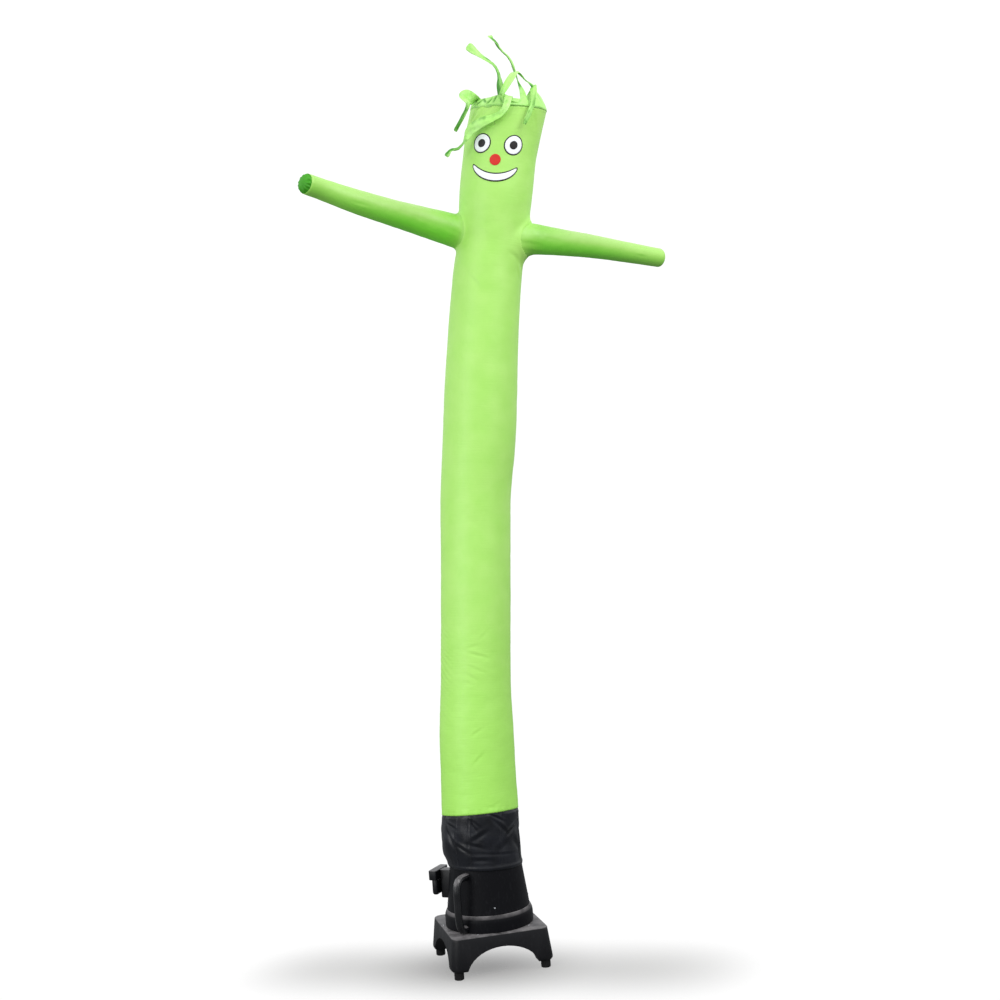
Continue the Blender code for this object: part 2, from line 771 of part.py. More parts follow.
def head_fringe(parent):
    """The fringe: a narrow band over the head seam, its upper edge cut into streamers."""
    place, radius = column_place(HEAD_SEAM)
    bm = bmesh.new()
    levels = []
    for level in (0.0, 0.12, 0.5, 1.0):
        ring = []
        for i in range(COLUMN_SIDES):
            azimuth = 360.0 * i / COLUMN_SIDES
            _, rise, draw_in = smooth_row(BAND_TABLE, around(0.0, azimuth))
            reach = radius - draw_in * level**2
            turn = math.radians(azimuth)
            height = 2 * GAP + rise * level
            at = place @ Vector((reach * math.cos(turn), reach * math.sin(turn), height))
            ring.append(bm.verts.new(at))
        levels.append(ring)
    for low, high in zip(levels, levels[1:]):
        for i in range(COLUMN_SIDES):
            j = (i + 1) % COLUMN_SIDES
            bm.faces.new((low[i], low[j], high[j], high[i]))

    edge, centre = levels[-1], place.translation
    pitch = 360 // COLUMN_SIDES
    for azimuth, bends in STREAMERS.items():
        i = (azimuth - pitch // 2) // pitch % COLUMN_SIDES
        previous = (edge[i], edge[(i + 1) % COLUMN_SIDES])
        for left, right in streamer_rows([v.co.copy() for v in previous], centre, bends):
            row = (bm.verts.new(left), bm.verts.new(right))
            bm.faces.new((previous[0], previous[1], row[1], row[0]))
            previous = row
    mesh = bpy.data.meshes.new("fringe")
    bm.to_mesh(mesh)
    bm.free()
    fringe = add("head_fringe", mesh, parent, (LIME_LIGHT, 0.6))
    cloth(fringe)


# ---------------------------------------------------------------- assembly
dancer = empty("dancer", None, BLOWER_PLACE, 0.0)
blower = empty("blower", dancer, (0, 0, 0), BLOWER_YAW)

blower_base(blower)
blower_feet(blower)
blower_housing(blower)
housing_space = housing_clearance(blower)
blower_handle(blower, housing_space)
control_box(blower, housing_space)

base_sleeve(dancer)
coloured_tube = body_tube(dancer)
crown_panel(dancer)
arms(coloured_tube, dancer)
head_fringe(dancer)
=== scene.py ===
import math

import bmesh
import bpy
import numpy as np
from mathutils import Matrix, Vector, noise


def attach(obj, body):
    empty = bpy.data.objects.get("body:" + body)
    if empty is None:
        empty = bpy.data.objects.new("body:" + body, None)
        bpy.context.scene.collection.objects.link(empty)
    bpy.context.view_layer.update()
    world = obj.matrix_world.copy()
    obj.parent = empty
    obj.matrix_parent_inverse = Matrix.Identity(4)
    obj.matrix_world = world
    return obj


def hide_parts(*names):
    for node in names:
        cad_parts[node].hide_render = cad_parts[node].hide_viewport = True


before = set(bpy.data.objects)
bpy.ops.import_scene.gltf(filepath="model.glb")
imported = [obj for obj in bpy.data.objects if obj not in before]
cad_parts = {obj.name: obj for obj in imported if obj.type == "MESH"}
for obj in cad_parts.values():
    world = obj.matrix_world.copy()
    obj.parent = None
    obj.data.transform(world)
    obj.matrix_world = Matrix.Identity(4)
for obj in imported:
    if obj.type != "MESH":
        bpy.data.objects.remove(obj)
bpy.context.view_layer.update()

# ---------------------------------------------------------------- blower housing
# The blower is a hollow moulding of black polyethylene: a square base on four flared legs, and a
# round flange that carries a tapered barrel.  Its skin is faintly pebbled, with pale scuffs from
# being carried and stood, and what faces up is paler: partly dust, partly a painted highlight.
HOUSING_BLACK = (0.0034, 0.0035, 0.0046, 1.0)
HOUSING_WORN = (0.0125, 0.0130, 0.0150, 1.0)
# Paler upward faces: partly dust, partly a painted highlight.
HOUSING_DUST_AND_HIGHLIGHT = (0.190, 0.178, 0.180, 1.0)
PEBBLE_SCALE, PEBBLE_HEIGHT = 900.0, 0.00014
MOTTLE_SCALE, MOTTLE_HEIGHT = 13.0, 0.0008
SCUFF_STRETCH, SCUFF_SCALE = (30, 30, 9), 3.0
BASE_EDGE = 0.004
BARREL_EDGE = 0.002
EDGE_TURN = math.radians(28)  # an edge that turns by more than this is rounded off
ONE_POINT = 0.00001  # points nearer than this are joined into one


def new_surface(name, **fixed):
    """A surface whose even values sit on the shader's own sockets."""
    made = bpy.data.materials.new(name)
    made.use_nodes = True
    shader = made.node_tree.nodes["Principled BSDF"]
    for socket, value in fixed.items():
        shader.inputs[socket.replace("_", " ")].default_value = value
    return made


def feed(surface, kind, inputs=None, **settings):
    """Adds a node to a surface.  A socket among its inputs is linked, anything else is set."""
    made = surface.node_tree.nodes.new("ShaderNode" + kind)
    for name, value in settings.items():
        setattr(made, name, value)
    for name, value in (inputs or {}).items():
        if isinstance(value, bpy.types.NodeSocket):
            surface.node_tree.links.new(value, made.inputs[name])
        else:
            made.inputs[name].default_value = value
    return made


def drive(surface, socket, source, shader="Principled BSDF"):
    """Links a source to the shader."""
    tree = surface.node_tree
    tree.links.new(source, tree.nodes[shader].inputs[socket])


def worked(surface, operation, *values, **settings):
    """The result of a sum on one or two values."""
    inputs = dict(enumerate(values))
    return feed(surface, "Math", inputs, operation=operation, **settings).outputs["Value"]


def parts_of(surface, vector):
    """The X, Y and Z of a vector."""
    return feed(surface, "SeparateXYZ", {"Vector": vector}).outputs


def piece_place(surface):
    """Coordinates in the piece's own metres."""
    return feed(surface, "TexCoord").outputs["Object"]


def facing_up(surface):
    """How far the surface faces up, from -1 to 1."""
    return parts_of(surface, feed(surface, "NewGeometry").outputs["Normal"])["Z"]


def stretched(surface, source, scale):
    """Coordinates pulled out along one direction or another."""
    return feed(surface, "Mapping", {"Vector": source, "Scale": scale}).outputs["Vector"]


def speckle(surface, coordinates, scale, detail=2.0):
    """A soft random pattern, from 0 to 1."""
    inputs = {"Vector": coordinates, "Scale": scale, "Detail": detail, "Roughness": 0.55}
    return feed(surface, "TexNoise", inputs).outputs["Fac"]


def spread(surface, source, low, high, to_low, to_high, **settings):
    """Reads one range of a pattern as another, held at its ends."""
    ends = {"From Min": low, "From Max": high, "To Min": to_low, "To Max": to_high}
    return feed(surface, "MapRange", {"Value": source, **ends}, **settings).outputs["Result"]


def blended(surface, share, first, second):
    """Two colours mixed by a share."""
    return feed(surface, "Mix", {0: share, 6: first, 7: second}, data_type="RGBA").outputs[2]


def roughened(surface, pattern, smoothest, roughest):
    """A roughness that wanders between two values with a pattern."""
    drive(surface, "Roughness", spread(surface, pattern, 0.3, 0.7, smoothest, roughest))


def relief(surface, layers):
    """Raises the surface by each (pattern, height in metres, strength) in turn."""
    normal = None
    for pattern, height, strength in layers:
        inputs = {"Height": pattern, "Distance": height, "Strength": strength}
        if normal is not None:
            inputs["Normal"] = normal
        normal = feed(surface, "Bump", inputs).outputs["Normal"]
    drive(surface, "Normal", normal)


def housing_plastic(name, roughness, gloss, dust_and_highlight):
    """Moulded plastic: pebbled and scuffed, paler on what faces up with dust and a painted
    highlight.
    """
    made = new_surface(name, Specular_IOR_Level=gloss)
    place = piece_place(made)
    pebbles = speckle(made, place, PEBBLE_SCALE, 1.0)
    mottle = speckle(made, place, MOTTLE_SCALE, 6.0)
    streaks = speckle(made, stretched(made, place, SCUFF_STRETCH), SCUFF_SCALE, 5.0)
    scuffs = spread(made, streaks, 0.56, 0.74, 0.0, 0.6)
    # Dust and a painted highlight on what faces up, in patches.
    settled = spread(made, facing_up(made), 0.30, 0.50, 0.0, dust_and_highlight)
    patchy = spread(made, mottle, 0.30, 0.62, 0.25, 1.0)
    worn = blended(made, scuffs, HOUSING_BLACK, HOUSING_WORN)
    dust_and_highlight_share = worked(made, "MULTIPLY", settled, patchy)
    drive(made, "Base Color", blended(made, dust_and_highlight_share, worn, HOUSING_DUST_AND_HIGHLIGHT))
    roughened(made, mottle, roughness - 0.06, roughness + 0.08)
    relief(made, [(mottle, MOTTLE_HEIGHT, 0.35), (pebbles, PEBBLE_HEIGHT, 0.5)])
    return made


def refine(part, surface, rounding):
    """A carried-over part's surface, smooth but for its edges, which are rounded a little."""
    part.data.materials.clear()
    part.data.materials.append(surface)
    if "custom_normal" in part.data.attributes:
        part.data.attributes.remove(part.data.attributes["custom_normal"])
    part.data.shade_smooth()
    weld = part.modifiers.new("joined", "WELD")
    weld.merge_threshold = ONE_POINT
    bevel = part.modifiers.new("rounded", "BEVEL")
    bevel.width = rounding
    bevel.segments = 3
    bevel.limit_method = "ANGLE"
    bevel.angle_limit = EDGE_TURN
    bevel.harden_normals = True


base_skin = housing_plastic("base_plastic", 0.48, 0.19, 0.85)
housing_skin = housing_plastic("housing_plastic", 0.46, 0.09, 0.95)
refine(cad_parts["blower_base"], base_skin, BASE_EDGE)
refine(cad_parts["blower_flange"], housing_skin, BASE_EDGE)
refine(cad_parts["blower_barrel"], housing_skin, BARREL_EDGE)

# ---------------------------------------------------------------- feet
# Four turned pegs of black rubber, pressed into the legs' ends.  They are matt and pick up dust
# and grit from the ground.
FOOT_BLACK = (0.0055, 0.0055, 0.0055, 1.0)
FOOT_GREY = (0.030, 0.029, 0.027, 1.0)
FOOT_EDGE = 0.0015
GRIT_SCALE, GRIT_HEIGHT = 120.0, 0.0004

foot_rubber = new_surface("foot_rubber", Specular_IOR_Level=0.2)
foot_grit = speckle(foot_rubber, piece_place(foot_rubber), GRIT_SCALE, 4.0)
foot_dust = spread(foot_rubber, foot_grit, 0.45, 0.8, 0.0, 0.5)
drive(foot_rubber, "Base Color", blended(foot_rubber, foot_dust, FOOT_BLACK, FOOT_GREY))
roughened(foot_rubber, foot_grit, 0.78, 0.92)
relief(foot_rubber, [(foot_grit, GRIT_HEIGHT, 0.5)])
for corner in ("front_left", "front_right", "back_left", "back_right"):
    refine(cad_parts[f"foot_{corner}"], foot_rubber, FOOT_EDGE)

# ---------------------------------------------------------------- handle and switch box
# The handle is a bent tube of the same plastic, polished a little by hands.  The switch box is a
# moulded case under a rain hood, on a bracket that is screwed to the barrel.
HANDLE_EDGE = 0.001
BOX_EDGE = 0.0015

# The handle's paler top is partly dust and partly a painted highlight.
handle_skin = housing_plastic("handle_plastic", 0.27, 0.43, 0.90)
box_skin = housing_plastic("box_plastic", 0.42, 0.30, 0.75)
refine(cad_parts["handle"], handle_skin, HANDLE_EDGE)
for part_name in ("switch_box_hood", "switch_box_case", "switch_box_bracket"):
    refine(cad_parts[part_name], box_skin, BOX_EDGE)

# ---------------------------------------------------------------- housing screws
# Pan-headed steel screws hold the base under the flange and the barrel over it.  Each head is
# turned, with a cross cut into it.
BLOWER_AXIS = Vector((-0.3284, -0.0558, 0.0))
SCREW_RADIUS = 0.0052
SCREW_RISE = 0.0034
SCREW_STEPS = 16
CROSS_REACH, CROSS_DEPTH = 0.8, 0.5  # the cross, as shares of the radius and of the rise
SCREW_PROFILE = (
    # share of the radius, share of the rise
    (1.0, -0.25),
    (1.0, 0.25),
    (0.93, 0.62),
    (0.72, 0.90),
    (0.42, 1.0),
    (0.10, 1.0),
)
SCREW_STEEL = (0.42, 0.43, 0.45, 1.0)
# Where the heads' undersides sit, and how far they lean out, in degrees.
SCREW_PLACES = (
    # azimuths, from_axis, height, lean
    (range(-104, 256, 72), 0.2795, 0.2400, 0.0),
    (range(-80, 280, 90), 0.2472, 0.3820, 83.0),
)


def screw_rings():
    """The rings of one head about +Z: its skirt, its dome and the floor of its cross."""
    rings = []
    for share, rise in SCREW_PROFILE:
        ring, reach = [], share * SCREW_RADIUS
        for i in range(SCREW_STEPS):
            turn = 2 * math.pi * i / SCREW_STEPS
            in_cross = i % (SCREW_STEPS // 4) == 0 and share < CROSS_REACH
            level = (rise - (CROSS_DEPTH if in_cross else 0.0)) * SCREW_RISE
            ring.append((reach * math.cos(turn), reach * math.sin(turn), level))
        rings.append(ring)
    return rings


def mesh_piece(name, points, faces, surface):
    """A smooth piece from its points and faces, in the row's own frame."""
    mesh = bpy.data.meshes.new(name)
    mesh.from_pydata([tuple(p) for p in points], [], faces)
    mesh.update()
    mesh.shade_smooth()
    mesh.materials.append(surface)
    piece = bpy.data.objects.new(name, mesh)
    bpy.context.scene.collection.objects.link(piece)
    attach(piece, "root")
    return piece


def ring_faces(first, rings, steps):
    """Quads between rings of equally many points, with the last ring filled."""
    faces = []
    for k in range(rings - 1):
        for i in range(steps):
            j = (i + 1) % steps
            low, high = first + k * steps, first + (k + 1) * steps
            faces.append((low + i, low + j, high + j, high + i))
    faces.append(tuple(first + (rings - 1) * steps + i for i in range(steps)))
    return faces


screw_points, screw_faces = [], []
for azimuths, from_axis, height, lean in SCREW_PLACES:
    for turn in map(math.radians, azimuths):
        out = Vector((math.cos(turn), math.sin(turn), 0.0))
        seat = BLOWER_AXIS + out * from_axis + Vector((0, 0, height))
        way = out * math.sin(math.radians(lean)) + Vector((0, 0, math.cos(math.radians(lean))))
        turned = Matrix.Translation(seat) @ way.to_track_quat("Z", "Y").to_matrix().to_4x4()
        first = len(screw_points)
        rings = screw_rings()
        screw_points += [turned @ Vector(point) for ring in rings for point in ring]
        screw_faces += ring_faces(first, len(rings), SCREW_STEPS)

screw_steel = new_surface("screw_steel", Metallic=1.0, Base_Color=SCREW_STEEL)
screw_wear = speckle(screw_steel, piece_place(screw_steel), 260.0, 3.0)
roughened(screw_steel, screw_wear, 0.28, 0.5)
relief(screw_steel, [(screw_wear, 0.0001, 0.3)])
screws = mesh_piece("housing_screws", screw_points, screw_faces, screw_steel)

# ---------------------------------------------------------------- base sleeve
# A sleeve of black coated nylon joins the tube to the blower.  It is cut in panels, sewn with flat
# seams that lean a little, and its hem is drawn tight over the barrel by a cord in its channel.
SLEEVE_CLOTH = 0.0012
SLEEVE_RADIUS = 0.235
HEM_HEIGHT = 0.592
HEM_CHANNEL = (0.013, 0.009, 0.0030)  # its middle over the hem's edge, half height, swelling
# Over the hem's edge the cloth lies tight for the first distance, and goes slack over the second.
HEM_TIGHT = (0.006, 0.07)
COLOUR_SEAM = 0.912
SLEEVE_TOP = 0.922
SLEEVE_SIDES = 240
SLEEVE_ROWS = 92
SLEEVE_BLACK = (0.0016, 0.0019, 0.0028, 1.0)
SLEEVE_SHEEN = (0.0084, 0.0096, 0.0140, 1.0)
WEAVE_SCALE, WEAVE_HEIGHT = 310.0, 0.00005
CRINKLE_SCALE, CRINKLE_HEIGHT = 55.0, 0.0008
TENSION_STRETCH, TENSION_HEIGHT = (9.0, 110.0, 1.0), 0.0022

# Each seam's puckers: how many there are, how deep, and how far they run.
HEM_PUCKERS = (34, 0.0028, 0.020)
HEM_DRAWN = 0.628  # the height that the hem's puckers run from
SLEEVE_TOP_PUCKERS = (26, 0.0026, 0.030)
SLEEVE_UNEVEN, SLEEVE_WAVES = 0.0050, (9.0, 9.0, 7.0)
SLEEVE_BAG, SLEEVE_BAG_OUT = (-176.0, 34.0, 0.675, 0.085), 0.011  # it sags out on its left
# It is tucked under the tube: from how far below the colour seam, over what height, how deep.
SLEEVE_TUCK = (0.016, 0.014, 0.0026)
COLUMN_LOW, COLUMN_HIGH, COLUMN_STEPS = 0.57, 5.24, 800

# The whole column's centreline, from the sleeve's hem to the head seam, measured from the blower's
# axis: the tips are how far each cross-section leans, in degrees.
COLUMN_TABLE = (
    # height, across, away, radius, tip_right, tip_front
    (0.592, 0.000, 0.000, 0.2249, 1.7, -2.0),
    (0.690, -0.011, 0.006, 0.2310, 0.3, -3.2),
    (0.800, -0.016, 0.014, 0.2365, -0.8, -4.8),
    (0.912, -0.011, 0.022, 0.2355, -1.6, -6.0),
    (1.100, -0.008, 0.043, 0.2310, -0.5, -6.0),
    (1.350, -0.002, 0.066, 0.2280, 1.2, -5.0),
    (1.700, 0.017, 0.096, 0.2170, 3.0, -4.0),
    (2.200, 0.052, 0.125, 0.2168, 4.0, -2.5),
    (2.820, 0.095, 0.147, 0.2178, 5.0, -1.0),
    (3.190, 0.143, 0.151, 0.2265, 6.2, 0.0),
    (3.560, 0.182, 0.148, 0.2262, 7.0, 1.0),
    (3.810, 0.212, 0.143, 0.2205, 7.5, 2.0),
    (4.180, 0.263, 0.130, 0.2140, 8.5, 2.5),
    (4.400, 0.307, 0.119, 0.2110, 9.3, 3.0),
    (4.660, 0.348, 0.104, 0.2250, 9.5, 4.0),
    (4.900, 0.390, 0.086, 0.2253, 9.0, 5.0),
    (5.080, 0.434, 0.071, 0.2320, 7.5, 6.0),
    (5.193, 0.468, 0.061, 0.2345, 5.3, 7.0),
)
# The sleeve's creases: slant is how steeply each climbs to the right, in degrees.
SLEEVE_CREASES = (
    # azimuth, height, slant, depth, half_width, half_length
    (-139, 0.853, -24, 0.0065, 0.008, 0.034),
    (-142, 0.782, -62, 0.0140, 0.015, 0.052),
    (-101, 0.853, -60, 0.0070, 0.008, 0.034),
    (-98, 0.867, -42, 0.0035, 0.008, 0.036),
    (-91, 0.784, 28, 0.0058, 0.013, 0.046),
    (-98, 0.733, -16, 0.0040, 0.010, 0.040),
    (-66, 0.888, -30, 0.0065, 0.007, 0.048),
    (-58, 0.831, -43, 0.0038, 0.010, 0.066),
    (-34, 0.804, 30, 0.0090, 0.010, 0.050),
    (-53, 0.724, 35, 0.0045, 0.018, 0.042),
    (-93, 0.651, -2, 0.0060, 0.012, 0.050),
    (-120, 0.722, -30, 0.0045, 0.010, 0.042),
    (-24, 0.708, -45, 0.0050, 0.018, 0.058),
    (-63, 0.678, -5, 0.0016, 0.008, 0.120),
    (-54, 0.883, 90, 0.0035, 0.007, 0.030),
    (-18, 0.830, 50, 0.0070, 0.014, 0.060),
    (8, 0.770, -44, 0.0070, 0.014, 0.070),
    (30, 0.850, 38, 0.0060, 0.012, 0.050),
    (44, 0.690, -24, 0.0055, 0.016, 0.070),
    (66, 0.800, 48, 0.0080, 0.014, 0.070),
    (92, 0.720, -30, 0.0060, 0.014, 0.060),
    (108, 0.850, -46, 0.0060, 0.012, 0.050),
    (130, 0.770, 42, 0.0075, 0.014, 0.070),
    (156, 0.700, 20, 0.0060, 0.016, 0.080),
    (172, 0.840, -40, 0.0060, 0.012, 0.050),
)
SLEEVE_PANEL_SEAMS = (-128.0, -104.5, -57.0, -12.0, 38.0, 92.0, 146.0)
SLEEVE_SEAM_DRIFT = 22.0  # degrees a metre that the panels' seams turn as they go down
PANEL_LAP = (0.007, 0.005, 0.0030)  # how far beside the seam, its half width, its height
PANEL_GROOVE = (0.0032, 1.1)  # its half width, and its depth in laps
RIDGE_SHARE, RIDGE_AWAY = 0.55, 1.7  # the ridge above each crease: its height and its distance


def smooth_row(table, at):
    """The table's row at a value of its first column, on a smooth curve through the rows."""
    last = len(table) - 1
    k = max(i for i in range(last) if i == 0 or table[i][0] <= at)
    step = table[k + 1][0] - table[k][0]
    share = min(max((at - table[k][0]) / step, 0.0), 1.0)

    def slope(i, column):
        low, high = max(i - 1, 0), min(i + 1, last)
        return (table[high][column] - table[low][column]) / (table[high][0] - table[low][0])

    square, cube = share**2, share**3
    return [
        (2 * cube - 3 * square + 1) * table[k][column]
        + (cube - 2 * square + share) * step * slope(k, column)
        + (3 * square - 2 * cube) * table[k + 1][column]
        + (cube - square) * step * slope(k + 1, column)
        for column in range(len(table[0]))
    ]


def ramp(value, over):
    """Rises evenly from 0 to 1 over a distance, and stays there."""
    return np.clip(value / over, 0.0, 1.0)


def hill(value, half=1.0):
    """Is 1 at nought, and fades away to either side."""
    return np.exp(-((value / half) ** 2))


def wave(turn, count, ahead=0.0, wander=0.0):
    """So many waves a round, from -1 to 1; ahead is in degrees, wander in radians."""
    return np.sin(np.radians(count * turn + ahead) + wander)


def even_turns(sides):
    """Evenly spaced turns in degrees, once round."""
    return np.arange(sides) * 360.0 / sides


def round_way(turn, first, second):
    """The direction at each turn, in degrees, from the first direction towards the second."""
    turn = np.radians(turn)
    return np.cos(turn)[..., None] * first + np.sin(turn)[..., None] * second


column_steps = np.linspace(COLUMN_LOW, COLUMN_HIGH, COLUMN_STEPS)
column_rows = np.array([smooth_row(COLUMN_TABLE, step) for step in column_steps])


def column_at(height):
    """The column's centre, its right, away and up directions, and its radius, at each height."""
    height = np.asarray(height, float)
    read = [np.interp(height, column_steps, column_rows[:, k]) for k in range(1, 6)]
    across, away, radius, tip_right, tip_front = read
    right_turn, front_turn = np.radians(tip_right), np.radians(tip_front)
    sin_r, cos_r = np.sin(right_turn), np.cos(right_turn)
    sin_f, cos_f = np.sin(front_turn), np.cos(front_turn)
    centre = np.stack([across + BLOWER_AXIS.x, away + BLOWER_AXIS.y, height], -1)
    right = np.stack([cos_r, np.zeros_like(cos_r), -sin_r], -1)
    back = np.stack([sin_r * sin_f, cos_f, cos_r * sin_f], -1)
    up = np.stack([sin_r * cos_f, -sin_f, cos_r * cos_f], -1)
    return centre, right, back, up, radius


def on_column(azimuth, height, out):
    """Points on the column's cloth, raised by out.  Azimuth is in degrees, -90 at its front."""
    centre, right, back, _, radius = column_at(height)
    return centre + (radius + out)[..., None] * round_way(azimuth, right, back)


def turn_between(azimuth, at):
    """The turn from one azimuth to another, from -180 to 180 degrees."""
    return (azimuth - at + 180.0) % 360.0 - 180.0


def creased(table, azimuth, height, radius):
    """How far a table's creases draw the cloth in: each is a trough with a low ridge above it."""
    drawn = np.zeros(np.broadcast(azimuth, height).shape)
    for at, level, slant, depth, half_width, half_length in table:
        across = radius * np.radians(turn_between(azimuth, at))
        rise = height - level
        lean = math.radians(slant)
        run = across * math.cos(lean) + rise * math.sin(lean)
        side = (rise * math.cos(lean) - across * math.sin(lean)) / half_width
        trough = hill(side) - RIDGE_SHARE * hill(side - RIDGE_AWAY)
        drawn += depth * trough * hill(run, half_length)
    return drawn


def gathered(azimuth, distance, count, depth, reach):
    """Small puckers that run off a seam and fade away from it."""
    wander = 2.3 * wave(azimuth, 3, 40) + 1.1 * wave(azimuth, 7, -15)
    strong = 0.65 + 0.35 * wave(azimuth, 5, 100)
    ripple = 0.5 + 0.5 * wave(azimuth, count, wander=wander)
    return depth * strong * ripple * np.exp(-np.abs(distance) / reach)


def bulge(place, azimuth, height):
    """Is 1 in the middle of a bulge of (azimuth, half width, height, half height), and fades."""
    at, half_turn, level, half_height = place
    away = (turn_between(azimuth, at) / half_turn) ** 2 + ((height - level) / half_height) ** 2
    return np.exp(-away)


def crumpled(points, scale, seed):
    """Soft unevenness, from about -0.5 to 0.5, at each point; scale is in waves a metre."""
    flat = points.reshape(-1, 3) * np.asarray(scale, float) + seed
    found = [noise.noise(Vector(p)) + 0.4 * noise.noise(Vector(p * 2.3)) for p in flat]
    return np.array(found).reshape(points.shape[:-1])


def layered_piece(name, grids, surface, thickness, painted_shade=None):
    """A thin piece over grids of points, made solid inwards.

    Each grid is (points, metres across at each column, metres along at each row, closed).
    The last argument, if given, says how much painted shade the cloth has at each grid's points,
    from 0 to 1.
    """
    points, quads, placed, first = [], [], [], 0
    for grid, across, along, closed in grids:
        rows, columns = grid.shape[:2]
        spans = columns if closed else columns - 1
        row, column = np.meshgrid(np.arange(rows - 1), np.arange(spans), indexing="ij")
        after = (column + 1) % columns
        corners = ((row, column), (row, after), (row + 1, after), (row + 1, column))
        quads.append(np.stack([r * columns + c for r, c in corners], -1).reshape(-1, 4) + first)
        across, along = np.asarray(across), np.asarray(along)
        sides = ((column, row), (column + 1, row), (column + 1, row + 1), (column, row + 1))
        cloth_places = np.stack([np.stack([across[c], along[r]], -1) for c, r in sides], 2)
        placed.append(cloth_places.reshape(-1, 2))
        points.append(grid.reshape(-1, 3))
        first += rows * columns
    piece = mesh_piece(name, np.concatenate(points), np.concatenate(quads).tolist(), surface)
    mesh = piece.data
    layer = mesh.uv_layers.new(name="cloth")
    layer.data.foreach_set("uv", np.concatenate(placed).astype(np.float32).ravel())
    if painted_shade:
        share = mesh.attributes.new("painted_shade", "FLOAT", "POINT")
        share.data.foreach_set("value", np.concatenate([values.ravel() for values in painted_shade]))
    bm = bmesh.new()
    bm.from_mesh(mesh)
    bmesh.ops.remove_doubles(bm, verts=bm.verts, dist=ONE_POINT)
    bm.to_mesh(mesh)
    bm.free()
    mesh.shade_smooth()
    solid = piece.modifiers.new("thickness", "SOLIDIFY")
    solid.thickness = thickness
    solid.offset = -1.0
    solid.use_even_offset = False
    return piece


def metres_around(turns, radius):
    """How far round the cloth each turn lies, with one more value where the round closes."""
    return np.radians(np.append(turns, turns[0] + 360.0)) * radius


def colour_seam_out(azimuth):
    """How the colour seam's own line wanders in and out."""
    small = wave(azimuth, 29, 30, 1.7 * wave(azimuth, 5))
    return -0.0012 + 0.0012 * small + 0.0016 * wave(azimuth, 7, 200)


sleeve_azimuths = np.linspace(-180.0, 180.0, SLEEVE_SIDES, endpoint=False)
sleeve_heights = np.linspace(HEM_HEIGHT, SLEEVE_TOP, SLEEVE_ROWS)
sleeve_turn, sleeve_level = np.meshgrid(sleeve_azimuths, sleeve_heights)
tight, slack_over = HEM_TIGHT
slack = ramp(sleeve_level - HEM_HEIGHT - tight, slack_over)
sleeve_out = -creased(SLEEVE_CREASES, sleeve_turn, sleeve_level, SLEEVE_RADIUS) * slack
sleeve_out -= gathered(sleeve_turn, sleeve_level - HEM_DRAWN, *HEM_PUCKERS) * slack
sleeve_out -= gathered(sleeve_turn, sleeve_level - COLOUR_SEAM, *SLEEVE_TOP_PUCKERS)
sleeve_bare = on_column(sleeve_turn, sleeve_level, np.zeros_like(sleeve_level))
sleeve_out += SLEEVE_UNEVEN * slack * crumpled(sleeve_bare, SLEEVE_WAVES, 3.7)
sleeve_out += SLEEVE_BAG_OUT * slack * bulge(SLEEVE_BAG, sleeve_turn, sleeve_level)
lap_middle, lap_half, lap_rise = PANEL_LAP
groove_half, groove_depth = PANEL_GROOVE
for seam in SLEEVE_PANEL_SEAMS:
    seam_turn = seam - SLEEVE_SEAM_DRIFT * (SLEEVE_TOP - sleeve_level)
    beside = np.radians(turn_between(sleeve_turn, seam_turn)) * SLEEVE_RADIUS
    lap = hill(beside - lap_middle, lap_half) - groove_depth * hill(beside, groove_half)
    sleeve_out += lap_rise * slack * lap
channel_middle, channel_half, channel_out = HEM_CHANNEL
sleeve_out += channel_out * hill(sleeve_level - HEM_HEIGHT - channel_middle, channel_half)
tuck_low, tuck_over, tuck_deep = SLEEVE_TUCK
under_tube = ramp(sleeve_level - COLOUR_SEAM + tuck_low, tuck_over)
sleeve_out += (colour_seam_out(sleeve_turn) - tuck_deep - sleeve_out) * under_tube
sleeve_points = on_column(sleeve_turn, sleeve_level, sleeve_out)


def cloth_place(surface):
    """Coordinates in metres across and along the cloth."""
    return feed(surface, "UVMap", uv_map="cloth").outputs["UV"]


def threads(surface, place, way):
    """The ribs of the threads that follow each other along X or along Y."""
    inputs = {"Vector": place, "Scale": WEAVE_SCALE, "Distortion": 0.0}
    return feed(surface, "TexWave", inputs, wave_type="BANDS", bands_direction=way).outputs["Fac"]


def nylon(name, bright, deep, gloss, roughness, ribs):
    """Coated nylon: a fine plain weave, faint tension lines across it, and a soft even gloss."""
    made = new_surface(name, Specular_IOR_Level=gloss)
    place = cloth_place(made)
    shade = spread(made, speckle(made, place, 7.0, 3.0), 0.3, 0.7, 0.0, 1.0)
    drive(made, "Base Color", blended(made, shade, bright, deep))
    roughened(made, speckle(made, place, 60.0, 3.0), roughness - 0.05, roughness + 0.07)
    lines = (speckle(made, stretched(made, place, TENSION_STRETCH), 1.0, 4.0), TENSION_HEIGHT, ribs)
    crinkle = (speckle(made, place, CRINKLE_SCALE, 4.0), CRINKLE_HEIGHT, 0.3)
    weave = worked(made, "MULTIPLY", threads(made, place, "X"), threads(made, place, "Y"))
    relief(made, [lines, crinkle, (weave, WEAVE_HEIGHT, 0.3)])
    return made


sleeve_nylon = nylon("black_nylon", SLEEVE_SHEEN, SLEEVE_BLACK, 0.27, 0.33, 0.25)
sleeve_around = metres_around(sleeve_azimuths, SLEEVE_RADIUS)
sleeve_grid = (sleeve_points, sleeve_around, sleeve_heights, True)
base_sleeve = layered_piece("sleeve_cloth", [sleeve_grid], sleeve_nylon, SLEEVE_CLOTH)
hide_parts("base_sleeve")

